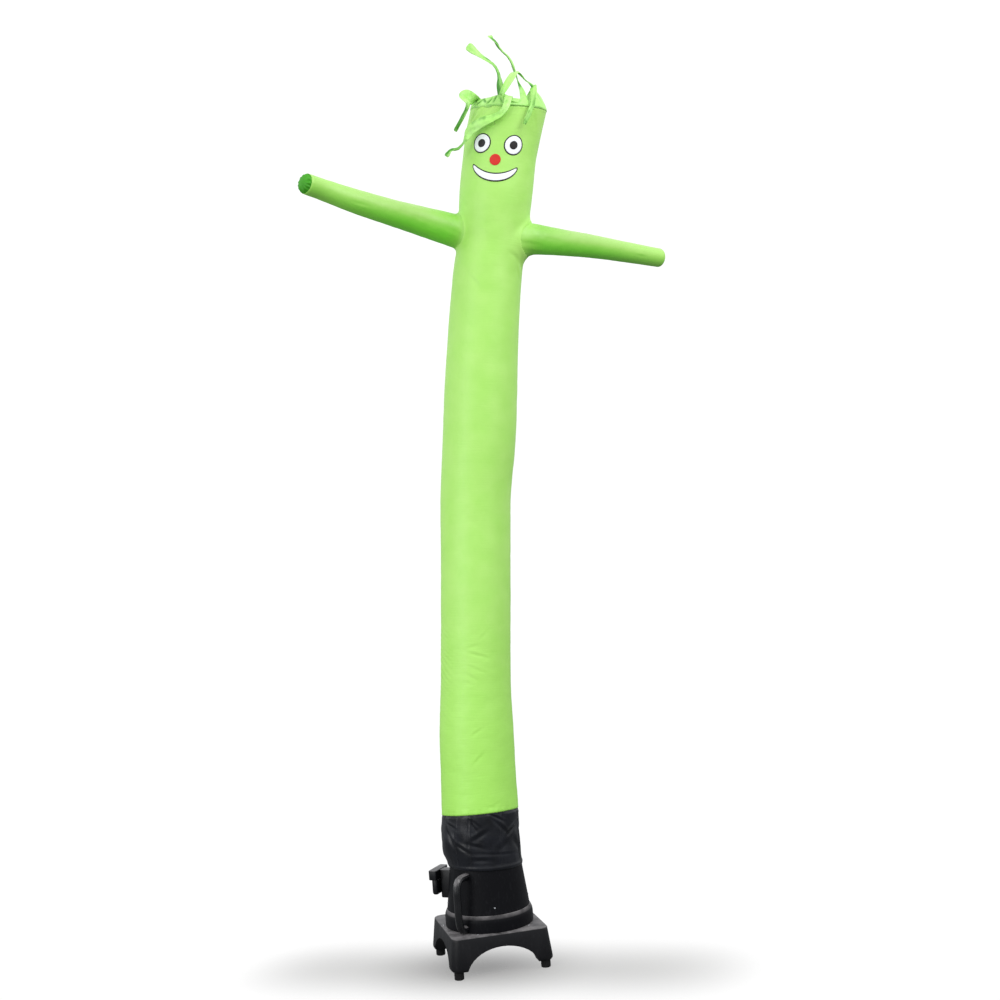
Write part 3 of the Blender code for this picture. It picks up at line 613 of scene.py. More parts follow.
# ---------------------------------------------------------------- coloured tube
# One length of lime nylon, sewn into a tube with a flat seam down its back.  Air holds it taut, so
# it shows only shallow creases, short puckers down its left edge and gathers at its seams.
TUBE_CLOTH = 0.0011
TUBE_RADIUS = 0.222
ARMPIT_RADIUS = 0.212
HEAD_RADIUS = 0.230
HEAD_SEAM = 5.193
BACK_SEAM = 78.0  # azimuth
BACK_LAP = (0.006, 0.0012)  # its half width and its height
TUBE_FOOT_PUCKERS = (30, 0.0022, 0.016)
TUBE_HEAD_PUCKERS = (26, 0.0014, 0.018)
TUBE_UNEVEN = (
    # depth, waves a metre, seed
    (0.0030, (4.0, 4.0, 3.2), 11.3),
    (0.0011, (10.0, 10.0, 16.0), 5.1),
)
SHOULDER, SHOULDER_OUT = (-2.0, 28.0, 4.525, 0.042), 0.015  # the bulge over the right arm
# Its foot comes down onto the colour seam's line: from how far above it, over what height.
TUBE_FOOT = (0.034, 0.020)
# The puckers down its left edge: azimuth, half width, pitch, slope, depth.
LEFT_EDGE = (-160.0, 0.085, 0.034, 0.55, 0.0016)
LEFT_EDGE_RUNS = (
    # how strong, the height they start at and over what run, the height they end at and over what
    (1.0, 1.05, 0.25, 2.45, 0.5),
    (0.25, 2.2, 0.4, 4.1, 0.4),
)
# The cloth's grid is finer over the front than over the back, and changes at these heights.
FRONT_FROM, FRONT_TO = -170.0, -10.0
FRONT_COLUMNS, BACK_COLUMNS = 96, 56
TUBE_LOWER, TUBE_UPPER = 2.05, 4.12
TUBE_ROWS = (128, 84, 98)
LIME_BRIGHT = (0.410, 0.755, 0.150, 1.0)
LIME_DEEP = (0.368, 0.730, 0.120, 1.0)
LIME_SHADED_FOOT = (0.335, 0.715, 0.088, 1.0)  # painted shade: a deeper green towards the sleeve
LIME_SHADED_FOOT_RUN = (0.95, 2.20, 0.75, 0.0)  # between these heights the painted shade's share goes from this to this

# Each arm tapers from its armhole to the end panel, and flares where it is sewn on.
LEFT_ARM_TABLE = (
    # along, radius
    (0.000, 0.1160),
    (0.190, 0.1090),
    (0.295, 0.1000),
    (0.410, 0.0940),
    (0.605, 0.0830),
    (0.820, 0.0755),
    (1.030, 0.0682),
    (1.200, 0.0618),
    (1.340, 0.0595),
)
RIGHT_ARM_TABLE = (
    (0.00, 0.114),
    (0.19, 0.105),
    (0.25, 0.097),
    (0.34, 0.089),
    (0.60, 0.0765),
    (0.90, 0.0672),
    (1.22, 0.0605),
)
# The arms' centrelines start inside the column, and are measured from the blower's axis.
LEFT_ARM_PATH = (
    # across, away, height
    (0.330, 0.172, 4.428),
    (0.215, 0.142, 4.452),
    (0.100, 0.093, 4.476),
    (-0.050, 0.006, 4.514),
    (-0.160, -0.070, 4.541),
    (-0.320, -0.200, 4.577),
    (-0.480, -0.315, 4.618),
    (-0.640, -0.420, 4.669),
    (-0.744, -0.530, 4.695),
)
RIGHT_ARM_PATH = (
    (0.300, 0.118, 4.403),
    (0.520, 0.085, 4.397),
    (0.700, 0.166, 4.383),
    (0.960, 0.328, 4.360),
    (1.250, 0.520, 4.326),
    (1.409, 0.628, 4.308),
)
TUBE_CREASES = (
    # azimuth, height, slant, depth, half_width, half_length
    (-86, 1.862, -14, 0.0034, 0.0085, 0.060),
    (-92, 1.915, 16, 0.0016, 0.0090, 0.045),
    (-76, 1.982, 45, 0.0012, 0.0080, 0.040),
    (-87, 1.775, -23, 0.0018, 0.0085, 0.065),
    (-95, 1.728, -27, 0.0016, 0.0085, 0.040),
    (-99, 1.690, -18, 0.0010, 0.0080, 0.035),
    (-88, 1.398, 34, 0.0024, 0.0080, 0.036),
    (-86, 1.240, 45, 0.0022, 0.0080, 0.045),
    (-100, 2.700, -26, 0.0020, 0.0090, 0.060),
    (-92, 2.672, -24, 0.0018, 0.0090, 0.050),
    (-104, 2.745, -20, 0.0012, 0.0090, 0.050),
    (-108, 4.130, -40, 0.0018, 0.0110, 0.070),
    (-72, 0.945, -16, 0.0016, 0.0080, 0.040),
    (-62, 0.960, 22, 0.0012, 0.0080, 0.050),
    (40, 3.300, 30, 0.0020, 0.0140, 0.080),
    (64, 2.100, -28, 0.0022, 0.0140, 0.070),
    (90, 1.500, 20, 0.0024, 0.0150, 0.080),
    (130, 2.600, -20, 0.0020, 0.0140, 0.080),
    (112, 3.900, 35, 0.0022, 0.0140, 0.080),
    (150, 1.150, -30, 0.0022, 0.0140, 0.070),
    (20, 1.300, 38, 0.0020, 0.0140, 0.070),
    (10, 2.450, -24, 0.0018, 0.0140, 0.070),
)
# Puckers that run off both armholes, over and under each arm.
ARMPIT_CREASES = (
    # azimuth, height, slant, depth, half_width, half_length
    (-20, 4.270, -52, 0.0034, 0.0120, 0.050),
    (-38, 4.300, -30, 0.0022, 0.0110, 0.055),
    (-52, 4.320, -22, 0.0012, 0.0100, 0.050),
    (-30, 4.225, -62, 0.0026, 0.0110, 0.050),
    (-24, 4.560, 34, 0.0014, 0.0120, 0.050),
    (-158, 4.290, 44, 0.0020, 0.0120, 0.050),
    (-142, 4.330, 30, 0.0014, 0.0110, 0.050),
    (-150, 4.235, 58, 0.0016, 0.0110, 0.050),
    (-146, 4.600, -36, 0.0014, 0.0120, 0.050),
    (30, 4.330, 30, 0.0040, 0.0120, 0.060),
    (44, 4.480, -16, 0.0034, 0.0120, 0.060),
    (150, 4.520, 24, 0.0036, 0.0120, 0.060),
    (164, 4.380, -34, 0.0040, 0.0120, 0.060),
)
# The crumpled cloth under the fringe, where the head seam is pulled.
HEAD_CREASES = (
    # azimuth, height, slant, depth, half_width, half_length
    (-148, 5.130, 62, 0.0042, 0.0100, 0.060),
    (-136, 5.120, 54, 0.0046, 0.0100, 0.060),
    (-124, 5.140, 50, 0.0040, 0.0090, 0.050),
    (-150, 5.030, 64, 0.0030, 0.0110, 0.080),
    (-134, 4.960, 60, 0.0022, 0.0120, 0.090),
    (-108, 5.150, 30, 0.0018, 0.0090, 0.040),
    (-40, 5.120, -60, 0.0022, 0.0100, 0.050),
    (20, 5.120, 55, 0.0030, 0.0110, 0.050),
    (75, 5.110, -58, 0.0030, 0.0110, 0.060),
    (120, 5.120, 60, 0.0030, 0.0110, 0.050),
)
ALONG_STEPS = 5  # steps taken to find the height up the column that a point belongs to
ARM_SPANS = 50  # points to each span of an arm's line


def smooth_path(points, spans):
    """Points along a smooth curve through the given ones, so many to each span."""
    table = [(i, *point) for i, point in enumerate(points)]
    count = (len(points) - 1) * spans
    return np.array([smooth_row(table, i / spans)[1:] for i in range(count + 1)])


def frames_along(line, side=(0.0, 0.0, 1.0)):
    """The side, other and ahead directions along a line, turning as little as they can."""
    ahead = np.empty_like(line)
    ahead[1:-1] = line[2:] - line[:-2]
    ahead[0], ahead[-1] = line[1] - line[0], line[-1] - line[-2]
    ahead /= np.linalg.norm(ahead, axis=1)[:, None]
    sides, side = [], np.array(side, float)
    for way in ahead:
        side = side - way * side.dot(way)
        side /= np.linalg.norm(side)
        sides.append(side)
    sides = np.array(sides)
    return sides, np.cross(ahead, sides), ahead


def along_column(points):
    """The height up the column whose round each point lies in, each step nearer than the last."""
    height = points[..., 2].copy()
    for _ in range(ALONG_STEPS):
        centre, _, _, up, _ = column_at(height)
        height = height + ((points - centre) * up).sum(-1)
    return height


def off_column(points):
    """How far each point lies outside the column's even round."""
    centre, _, _, _, radius = column_at(along_column(points))
    return np.linalg.norm(points - centre, axis=-1) - radius


def runs_of(line):
    """How far along a line each of its points lies."""
    return np.append(0.0, np.cumsum(np.linalg.norm(np.diff(line, axis=0), axis=1)))


class ArmLine:
    """An arm's centreline, with its directions, its runs from its start and its radii.

    soft_above and soft_below say how far the tube and the arm run into each other at their seam.
    """

    def __init__(self, path, table, soft_above, soft_below):
        self.line = smooth_path(path, ARM_SPANS) + np.array(BLOWER_AXIS)
        self.side, self.other, self.ahead = frames_along(self.line)
        self.run = runs_of(self.line)
        self.radius = np.array([smooth_row(table, at)[1] for at in self.run])
        self.soft_above, self.soft_below = soft_above, soft_below

    def softness(self, rising):
        """How softly tube and arm join, where the arm's round has risen so far from its middle."""
        below = np.clip(0.5 - rising, 0.0, 1.0)
        return self.soft_above + (self.soft_below - self.soft_above) * below

    def off(self, points):
        """How far each point lies outside the arm, and how softly they join there."""
        flat = points.reshape(-1, 3)
        line, radius = self.line[::2], self.radius[::2]
        reach = np.linalg.norm(flat[:, None, :] - line[None, :, :], axis=2)
        near = (reach - radius).argmin(1)
        apart = reach[np.arange(len(flat)), near] - radius[near]
        softness = self.softness(SOFT_TURN * (flat[:, 2] - line[near, 2]) / radius[near])
        return apart.reshape(points.shape[:-1]), softness.reshape(points.shape[:-1])


def nearer_joint(rise, apart, softness):
    """One step from a rise towards the one at which tube and arm meet without an edge."""
    near = np.clip(softness - np.abs(rise - apart), 0.0, None)
    least = np.minimum(rise, apart) - near**2 / (4 * softness)
    return np.clip(rise - least, 0.0, JOINT_SHARE * softness)


SOFT_TURN = 0.6  # how quickly the joint's softness changes from above an arm to below it
JOINT_STEPS = 6
JOINT_SHARE = 0.36  # the joint's greatest rise, as a share of its softness
JOINT_LOW, JOINT_HIGH = 4.02, 4.95
JOINT_SINK, JOINT_SINK_OVER = 0.0012, 0.004  # how far the tube sinks inside an arm, over what depth
LEFT_ARM = ArmLine(LEFT_ARM_PATH, LEFT_ARM_TABLE, 0.034, 0.030)
RIGHT_ARM = ArmLine(RIGHT_ARM_PATH, RIGHT_ARM_TABLE, 0.030, 0.070)


def joint_rise(azimuth, height):
    """How far the tube rises to meet the arms, which it runs into without an edge."""
    risen = np.zeros_like(height)
    near = (height > JOINT_LOW) & (height < JOINT_HIGH)
    turn, level = azimuth[near], height[near]
    if not level.size:
        return risen
    for line in (LEFT_ARM, RIGHT_ARM):
        rise = np.zeros_like(level)
        for _ in range(JOINT_STEPS):
            apart, softness = line.off(on_column(turn, level, rise))
            rise = nearer_joint(rise, apart, softness)
        risen[near] += rise - JOINT_SINK * ramp(-apart, JOINT_SINK_OVER)
    return risen


def left_edge_puckers(azimuth, height):
    """The many short slanting puckers down the tube's left edge."""
    at, half_width, pitch, slope, depth = LEFT_EDGE
    across = TUBE_RADIUS * np.radians(turn_between(azimuth, at))
    fall = height + slope * across + 0.010 * np.sin(height * 23.0)
    ripple = np.sin(fall * 2 * math.pi / pitch + 1.3 * np.sin(height * 9.0))
    lengthwise = np.zeros_like(height)
    for strength, start, start_over, end, end_over in LEFT_EDGE_RUNS:
        lengthwise += strength * ramp(height - start, start_over) * ramp(end - height, end_over)
    patchy = 0.6 + 0.4 * np.sin(height * 7.3 + 0.8)
    return depth * ripple * hill(across, half_width) * lengthwise * patchy


def tube_out(azimuth, height):
    """How far the tube's cloth stands out from its even round, everywhere on it."""
    azimuth, height = np.broadcast_arrays(np.asarray(azimuth, float), np.asarray(height, float))
    out = -creased(TUBE_CREASES, azimuth, height, TUBE_RADIUS)
    out -= creased(ARMPIT_CREASES, azimuth, height, ARMPIT_RADIUS)
    out -= creased(HEAD_CREASES, azimuth, height, HEAD_RADIUS)
    out += left_edge_puckers(azimuth, height)
    out -= gathered(azimuth, height - COLOUR_SEAM, *TUBE_FOOT_PUCKERS)
    out -= gathered(azimuth, HEAD_SEAM - height, *TUBE_HEAD_PUCKERS)
    bare = on_column(azimuth, height, np.zeros_like(height))
    for depth, waves, seed in TUBE_UNEVEN:
        out += depth * crumpled(bare, waves, seed)
    beside = turn_between(azimuth, BACK_SEAM) * math.radians(1) * TUBE_RADIUS
    out += BACK_LAP[1] * hill(beside, BACK_LAP[0])
    out += SHOULDER_OUT * bulge(SHOULDER, azimuth, height)
    foot_top, foot_over = TUBE_FOOT
    at_seam = ramp(COLOUR_SEAM + foot_top - height, foot_over)
    out += (colour_seam_out(azimuth) - out) * at_seam
    return out + joint_rise(azimuth, height)


def shaded(surface, share, colour):
    """Mixes a colour, or a socket's, into a surface's base colour by a share."""
    base = surface.node_tree.nodes["Principled BSDF"].inputs["Base Color"].links[0].from_socket
    drive(surface, "Base Color", blended(surface, share, base, colour))


front_turns = np.linspace(FRONT_FROM, FRONT_TO, FRONT_COLUMNS, endpoint=False)
back_turns = np.linspace(FRONT_TO, FRONT_FROM + 360.0, BACK_COLUMNS, endpoint=False)
tube_azimuths = np.concatenate([front_turns, back_turns])
tube_heights = np.concatenate(
    [
        np.linspace(COLOUR_SEAM, TUBE_LOWER, TUBE_ROWS[0], endpoint=False),
        np.linspace(TUBE_LOWER, TUBE_UPPER, TUBE_ROWS[1], endpoint=False),
        np.linspace(TUBE_UPPER, HEAD_SEAM, TUBE_ROWS[2]),
    ]
)
tube_turn, tube_level = np.meshgrid(tube_azimuths, tube_heights)
tube_points = on_column(tube_turn, tube_level, tube_out(tube_turn, tube_level))
lime_nylon = nylon("lime_nylon", LIME_BRIGHT, LIME_DEEP, 0.60, 0.50, 0.40)
# Painted shade: a deeper green towards the tube's foot, by the height in its cloth coordinates. The
# crown, whose cloth coordinates are all low, takes it too.
up_tube = parts_of(lime_nylon, cloth_place(lime_nylon))["Y"]
shaded(lime_nylon, spread(lime_nylon, up_tube, *LIME_SHADED_FOOT_RUN), LIME_SHADED_FOOT)
tube_grid = (tube_points, metres_around(tube_azimuths, TUBE_RADIUS), tube_heights, True)
tube = layered_piece("tube_cloth", [tube_grid], lime_nylon, TUBE_CLOTH)
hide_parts("body_tube")

# ---------------------------------------------------------------- crown panel
# A round of the same nylon closes the tube inside the fringe.  Its edge is turned down and caught
# in the head seam, and the air blows it up into a low dome.
CROWN_RISE = 0.045
CROWN_DROP = 0.003  # how far under the head seam its dome starts
CROWN_INSET = 0.0032
CROWN_SIDES = 96
CROWN_PLEATS = (22, 0.003)  # how many, and how deep
CROWN_TURN_DOWN = 0.018  # how far below the seam its edge reaches
# How far out each ring lies, as a share of the rim.
CROWN_SHARES = (1.0, 1.0, 0.97, 0.92, 0.84, 0.74, 0.62, 0.48, 0.34, 0.20, 0.08, 0.0)


def tilted_rings(place, shares, lifts, pleats, sides):
    """Rings about a place of (centre, side, other, outward, radius), each a share of the radius
    wide and lifted along its outward direction; pleats pull the cloth in just inside the rim."""
    centre, side, other, outward, radius = place
    turns = even_turns(sides)
    way = round_way(turns, side, other)
    count, depth = pleats
    ripple = 0.5 + 0.5 * wave(turns, count, wander=1.4 * wave(turns, 3))
    rings = []
    for share, lift in zip(shares, lifts):
        drawn = depth * ripple * share**3 * min(1.0, 0.1 + 18.0 * max(0.0, 1.0 - share))
        reach = (radius - drawn) * share
        rings.append(centre + reach[:, None] * way + (lift - 0.6 * drawn)[:, None] * outward)
    return np.array(rings), turns


crown_centre, crown_right, crown_back, crown_up, crown_radius = column_at(np.array(HEAD_SEAM))
crown_lifts = [CROWN_RISE * (1 - share**2) - CROWN_DROP for share in CROWN_SHARES]
crown_lifts[0] = -CROWN_TURN_DOWN
crown_place = (crown_centre, crown_right, crown_back, crown_up, crown_radius - CROWN_INSET)
crown_rings, crown_turns = tilted_rings(
    crown_place, CROWN_SHARES, crown_lifts, CROWN_PLEATS, CROWN_SIDES
)
crown_along = [0.0, CROWN_TURN_DOWN]
crown_along += [CROWN_TURN_DOWN + (1 - share) * crown_radius for share in CROWN_SHARES[2:]]
crown_grid = (crown_rings, metres_around(crown_turns, crown_radius), crown_along, True)
crown = layered_piece("crown_cloth", [crown_grid], lime_nylon, TUBE_CLOTH)
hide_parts("crown_panel")

# ---------------------------------------------------------------- arms
# Each arm is a tapered sleeve of lime nylon with one seam, sewn into its armhole, and it puckers
# at the armhole and at its end.  Air holds it out in a slow bend.
ARM_SIDES = 80
ARM_ROWS = 120
ARM_SINK = 0.004
ARM_RADIUS = 0.080
ARM_CREASE_RADIUS = 0.085
ARM_CROWDING = 1.35  # how closely its rows are crowded towards the armhole
ARM_ROOT_PUCKERS = (31, 0.0018, 0.012)
ARM_ROOT_FLAT = 0.008  # how far from the armhole its puckers reach their depth
ARM_END_PUCKERS = (19, 0.0020, 0.012)
ARM_UNEVEN = ((0.0016, 7.0, 21.0), (0.0008, 24.0, 9.0))  # depth, waves a metre, seed
ARM_SEAM = (172.0, 0.07)  # its turn from the arm's top, and the arm's radius there
ARM_LAP = (0.005, 0.0010)  # the seam's half width and its height
RIGHT_END_ROUNDED = 0.026
# Painted light and shade on the arms: a lighter top, deeper sides and underside, and a deeper green
# just past the armhole.
ARM_LIT_TOP = (0.380, 0.605, 0.180, 1.0)
ARM_SHADED_SIDE = (0.275, 0.560, 0.080, 1.0)
ARM_SHADED_UNDERSIDE = (0.180, 0.700, 0.034, 1.0)
ARM_ROOT_SHADE = (0.205, 0.520, 0.046, 1.0)
# Distances along an arm's line, which reaches the armhole's seam at about 0.22.  The root's painted
# shade comes in between the first pair and goes again between the second.
ARM_ROOT_SHADE_IN, ARM_ROOT_SHADE_OUT = (0.21, 0.30), (0.30, 0.54)
# The painted light and shade on the top and sides come in between the first pair, on the underside
# between the second, and both fade again between the third, towards the end.
ARM_SHADE_CHANGE = ((0.15, 0.50), (0.20, 0.34), (0.66, 1.20))
# The share of the painted light and shade that is left at the arm's end.
ARM_SHADE_AT_END = 0.42
# The arms' creases: turn is round the arm from its top, and run is from its root seam.
LEFT_ARM_CREASES = (
    # turn, run, slant, depth, half_width, half_length
    (-40, 0.060, 62, 0.0010, 0.0090, 0.060),
    (-75, 0.075, 70, 0.0010, 0.0090, 0.070),
    (-110, 0.060, 82, 0.0012, 0.0090, 0.070),
    (-60, 0.160, 78, 0.0008, 0.0100, 0.080),
    (-95, 0.330, 84, 0.0006, 0.0100, 0.110),
    (30, 0.070, 96, 0.0012, 0.0100, 0.060),
    (95, 0.080, 84, 0.0014, 0.0100, 0.070),
    (150, 0.070, 100, 0.0016, 0.0100, 0.060),
    (-70, 0.700, 80, 0.0016, 0.0090, 0.050),
    (-110, 0.720, 95, 0.0018, 0.0090, 0.045),
    (-35, 0.735, 88, 0.0014, 0.0080, 0.035),
)
RIGHT_ARM_CREASES = (
    (40, 0.050, 96, 0.0008, 0.0090, 0.050),
    (75, 0.060, 88, 0.0008, 0.0090, 0.060),
    (115, 0.055, 78, 0.0016, 0.0095, 0.060),
    (150, 0.070, 70, 0.0020, 0.0100, 0.060),
    (95, 0.160, 84, 0.0007, 0.0100, 0.080),
    (-30, 0.070, 84, 0.0012, 0.0100, 0.060),
    (-90, 0.080, 96, 0.0014, 0.0100, 0.070),
    (60, 0.860, 92, 0.0014, 0.0090, 0.040),
    (110, 0.880, 86, 0.0016, 0.0090, 0.035),
)


def arm_painted_shade_nylon():
    """The arms' cloth: the tube's at their seams, with painted shade in a deeper green just past
    them.
    From there out it has painted light and shade, lighter above and deeper below, fading to the end."""
    made = nylon("arm_painted_shade_nylon", LIME_BRIGHT, LIME_DEEP, 0.65, 0.50, 0.40)
    run, upward = parts_of(made, cloth_place(made))["Y"], facing_up(made)
    sides, underside, end = ARM_SHADE_CHANGE
    # Painted light and shade: lighter where it faces up, deeper at the sides, fading towards the
    # end.
    shade_kept = spread(made, run, *end, 1.0, ARM_SHADE_AT_END)
    above = blended(made, spread(made, upward, 0.0, 0.8, 0.0, 1.0), ARM_SHADED_SIDE, ARM_LIT_TOP)
    along = worked(made, "MULTIPLY", spread(made, run, *sides, 0.0, 1.0), shade_kept)
    shaded(made, along, above)
    # Painted shade just past the armhole.
    comes_in = spread(made, run, *ARM_ROOT_SHADE_IN, 0.30, 1.0)
    armhole_shade = worked(made, "MULTIPLY", comes_in, spread(made, run, *ARM_ROOT_SHADE_OUT, 0.85, 0.0))
    shaded(made, armhole_shade, ARM_ROOT_SHADE)
    # Painted shade on the underside.
    facing_down = spread(made, upward, -0.7, 0.0, 1.0, 0.0)
    below = worked(made, "MULTIPLY", facing_down, spread(made, run, *underside, 0.0, 1.0))
    shaded(made, worked(made, "MULTIPLY", below, shade_kept), ARM_SHADED_UNDERSIDE)
    return made


arm_shaded_nylon = arm_painted_shade_nylon()


def read_rows(at, steps, values):
    """A row of values for each place, read off between the steps that they belong to."""
    return np.stack([np.interp(at, steps, column) for column in values.T], -1)


def arm(side_name, line, creases, rounded):
    """An arm's cloth, its points and outward directions, and the place of its end.

    The place is (centre, side, other, outward, radius).
    """
    run, end_run = line.run, line.run[-1]
    turns = even_turns(ARM_SIDES)
    way = round_way(turns, line.side[:, None, :], line.other[:, None, :])
    clear = off_column(line.line[:, None, :] + line.radius[:, None, None] * way) + ARM_SINK
    roots = []
    for i in range(ARM_SIDES):
        k = np.nonzero(clear[:, i] < 0)[0].max()
        share = clear[k, i] / (clear[k, i] - clear[k + 1, i])
        roots.append(run[k] + share * (run[k + 1] - run[k]))
    roots = np.array(roots)
    shares = np.linspace(0.0, 1.0, ARM_ROWS)[:, None] ** ARM_CROWDING
    runs = roots + (end_run - roots) * shares
    centre = read_rows(runs, run, line.line)
    outward = round_way(turns, read_rows(runs, run, line.side), read_rows(runs, run, line.other))
    reach = np.interp(runs, run, line.radius)
    turn, from_root, to_end = np.broadcast_to(turns, runs.shape), runs - roots, end_run - runs
    bare = centre + reach[..., None] * outward
    softness = line.softness(SOFT_TURN * np.cos(np.radians(turn)))
    rise = np.zeros_like(reach)
    for _ in range(JOINT_STEPS):
        apart = off_column(centre + (reach + rise)[..., None] * outward)
        rise = nearer_joint(rise, apart, softness)
    reach = reach + rise
    reach = reach - creased(creases, turn, from_root, ARM_CREASE_RADIUS)
    reach = reach - gathered(turn, from_root, *ARM_ROOT_PUCKERS) * ramp(from_root, ARM_ROOT_FLAT)
    reach = reach - gathered(turn, to_end, *ARM_END_PUCKERS)
    if rounded:
        edge = np.clip(1.0 - to_end / rounded, 0.0, 1.0)
        reach = reach - rounded * (1.0 - np.sqrt(1.0 - edge**2))
    for depth, waves, seed in ARM_UNEVEN:
        reach = reach + depth * crumpled(bare, waves, seed)
    beside = np.radians(turn_between(turn, ARM_SEAM[0])) * ARM_SEAM[1]
    reach = reach + ARM_LAP[1] * hill(beside, ARM_LAP[0])
    points = centre + reach[..., None] * outward
    grid = (points, metres_around(turns, ARM_RADIUS), runs.mean(1), True)
    cloth = layered_piece(f"arm_{side_name}_cloth", [grid], arm_shaded_nylon, TUBE_CLOTH)
    end = line.radius[-1] - rounded
    place = (line.line[-1], line.side[-1], line.other[-1], line.ahead[-1], end)
    return cloth, (points, outward), place


arm_rows, arm_ends = {}, {}
for side_name, line, creases, rounded, flat, area in (
    ("left", LEFT_ARM, LEFT_ARM_CREASES, 0.0, (0.72, 1.12), 0.54),
    ("right", RIGHT_ARM, RIGHT_ARM_CREASES, RIGHT_END_ROUNDED, (0.72, 1.05), 0.50),
):
    cloth, arm_rows[side_name], arm_ends[side_name] = arm(side_name, line, creases, rounded)
    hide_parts(f"arm_{side_name}")

# ---------------------------------------------------------------- arm end panels
# A round of nylon is eased into each arm's end, so it is finely pleated all round its seam and
# blown out into a low dome.
END_SIDES = 96
END_INSET = 0.0016
END_RADIUS = 0.057  # the radius at which the dome has four fifths of the height given here
# The left end panel's cloth is a darker green: painted shade.  The right one takes the arms' cloth.
END_SHADED_BRIGHT = (0.054, 0.345, 0.009, 1.0)
END_SHADED_DEEP = (0.034, 0.250, 0.006, 1.0)
END_SHAPE = (
    # share of the radius, out
    (1.00, -0.006),
    (0.985, 0.002),
    (0.96, 0.008),
    (0.91, 0.015),
    (0.83, 0.021),
    (0.72, 0.0255),
    (0.58, 0.029),
    (0.42, 0.0315),
    (0.24, 0.033),
    (0.00, 0.034),
)


def end_panel(side_name, pleats, cloth):
    """The panel at the end of one arm: the smaller it is, the lower its dome."""
    centre, side, other, outward, radius = arm_ends[side_name]
    lower = 0.8 * (radius / END_RADIUS) ** 2
    shares, lifts = [row[0] for row in END_SHAPE], [row[1] * lower for row in END_SHAPE]
    inside = (centre, side, other, outward, radius - END_INSET)
    rings, turns = tilted_rings(inside, shares, lifts, pleats, END_SIDES)
    along = [radius * (1 - share) for share in shares]
    grid = (rings, metres_around(turns, radius), along, True)
    return layered_piece(f"arm_{side_name}_end_cloth", [grid], cloth, TUBE_CLOTH)


# Painted shade: the left end panel's darker green.
end_shaded_nylon = nylon("end_shaded_nylon", END_SHADED_BRIGHT, END_SHADED_DEEP, 0.28, 0.50, 0.35)
for side_name, pleats, cloth, across, area in (
    ("left", (13, 0.0085), end_shaded_nylon, 0.145, 0.0165),
    ("right", (14, 0.0006), arm_shaded_nylon, 0.078, 0.0045),
):
    panel = end_panel(side_name, pleats, cloth)
    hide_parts(f"arm_{side_name}_end")

# ---------------------------------------------------------------- head fringe
# One strip of lighter nylon is sewn round the head and cut into streamers above its seam.  They
# are single cloth, so the rising air curls them, and their cut edges roll a little.
FRINGE_CLOTH = 0.0009
FRINGE_SIDES = 240
BAND_LEVELS = 16
BAND_HEIGHT = 0.055  # its mean
BAND_PROUD, BAND_FINE = 0.0012, 0.0009  # at its lower edge: how proud it lies, its small waves
SCALLOP = 0.0016
HANG_AZIMUTH, HANG_HALF = -128.0, 26.0  # where its lower edge hangs lower
HANG, HANG_WAVES = 0.005, 0.006
SEAM_GROOVE_SHADE = (0.34, 0.34, 0.1, 0.6)  # painted shade along its lower edge, in the seam's groove: mean, swing, least, most
CREASE_SHADE = (0.009, 0.75)  # painted shade in its creases: the depth that gives the full shade, and the most shade
BAND_TABLE = (
    # azimuth, rise, draw_in
    (-180, 0.050, 0.012),
    (-150, 0.046, 0.022),
    (-126, 0.050, 0.030),
    (-102, 0.060, 0.012),
    (-84, 0.042, 0.008),
    (-66, 0.044, 0.010),
    (-56, 0.076, 0.022),
    (-44, 0.104, 0.046),
    (-28, 0.108, 0.052),
    (-12, 0.092, 0.044),
    (8, 0.064, 0.022),
    (60, 0.052, 0.014),
    (120, 0.052, 0.014),
    (180, 0.050, 0.012),
)
# The band's folds, where the wind and its gathers pull it: height is above the seam.
BAND_CREASES = (
    # azimuth, height, slant, depth, half_width, half_length
    (-156, 0.030, 70, 0.0080, 0.0070, 0.034),
    (-145, 0.022, 40, 0.0105, 0.0075, 0.038),
    (-133, 0.036, -38, 0.0095, 0.0070, 0.036),
    (-123, 0.018, 52, 0.0105, 0.0070, 0.034),
    (-112, 0.034, 64, 0.0090, 0.0065, 0.030),
    (-101, 0.024, -58, 0.0070, 0.0065, 0.030),
    (-86, 0.020, -12, 0.0050, 0.0060, 0.040),
    (-74, 0.028, 68, 0.0035, 0.0065, 0.026),
    (-60, 0.050, -66, 0.0040, 0.0070, 0.032),
    (-47, 0.060, 58, 0.0045, 0.0075, 0.040),
    (-30, 0.050, -60, 0.0045, 0.0080, 0.040),
    (-8, 0.035, 55, 0.0045, 0.0080, 0.034),
    (18, 0.026, -58, 0.0045, 0.0075, 0.028),
    (41, 0.030, 62, 0.0045, 0.0075, 0.028),
    (68, 0.026, -55, 0.0050, 0.0075, 0.028),
    (97, 0.030, 60, 0.0045, 0.0075, 0.028),
    (118, 0.026, -62, 0.0045, 0.0075, 0.028),
    (148, 0.030, 58, 0.0050, 0.0075, 0.028),
    (171, 0.026, -60, 0.0050, 0.0075, 0.028),
)
SEAM_LAP = 0.007  # the band's lower edge laps over the tube by this much
SEAM_GAP = 0.0004
STREAMER_WIDTH = 0.048
STREAMER_PLACES = 30  # evenly spaced round the band
STREAMER_SPANS = 12
STREAMER_COLUMNS = 9
STREAMER_SHADE_IN = 4  # rows over which its painted shade comes in
STREAMER_TIP = 4  # rows over which its end is rounded
STREAMER_CUP = (0.0035, 0.010)  # how deeply it is cupped at full width, and what narrowing adds
STREAMER_PLEAT = (0.0012, 0.0075)  # the same for its pleats
STREAMER_NARROW_SHADE = (0.12, 0.36)  # painted shade where it narrows: how much narrower it starts, and over what more it is full
STREAMER_PATCHES = (26.0, 7.0, 0.08, 0.9)  # random patches of more painted shade: waves a metre, seed, what is left out, strength
STREAMER_UNEVEN = ((0.0038, 24.0, 31.0), (0.0013, 62.0, 17.0))  # depth, waves a metre, seed
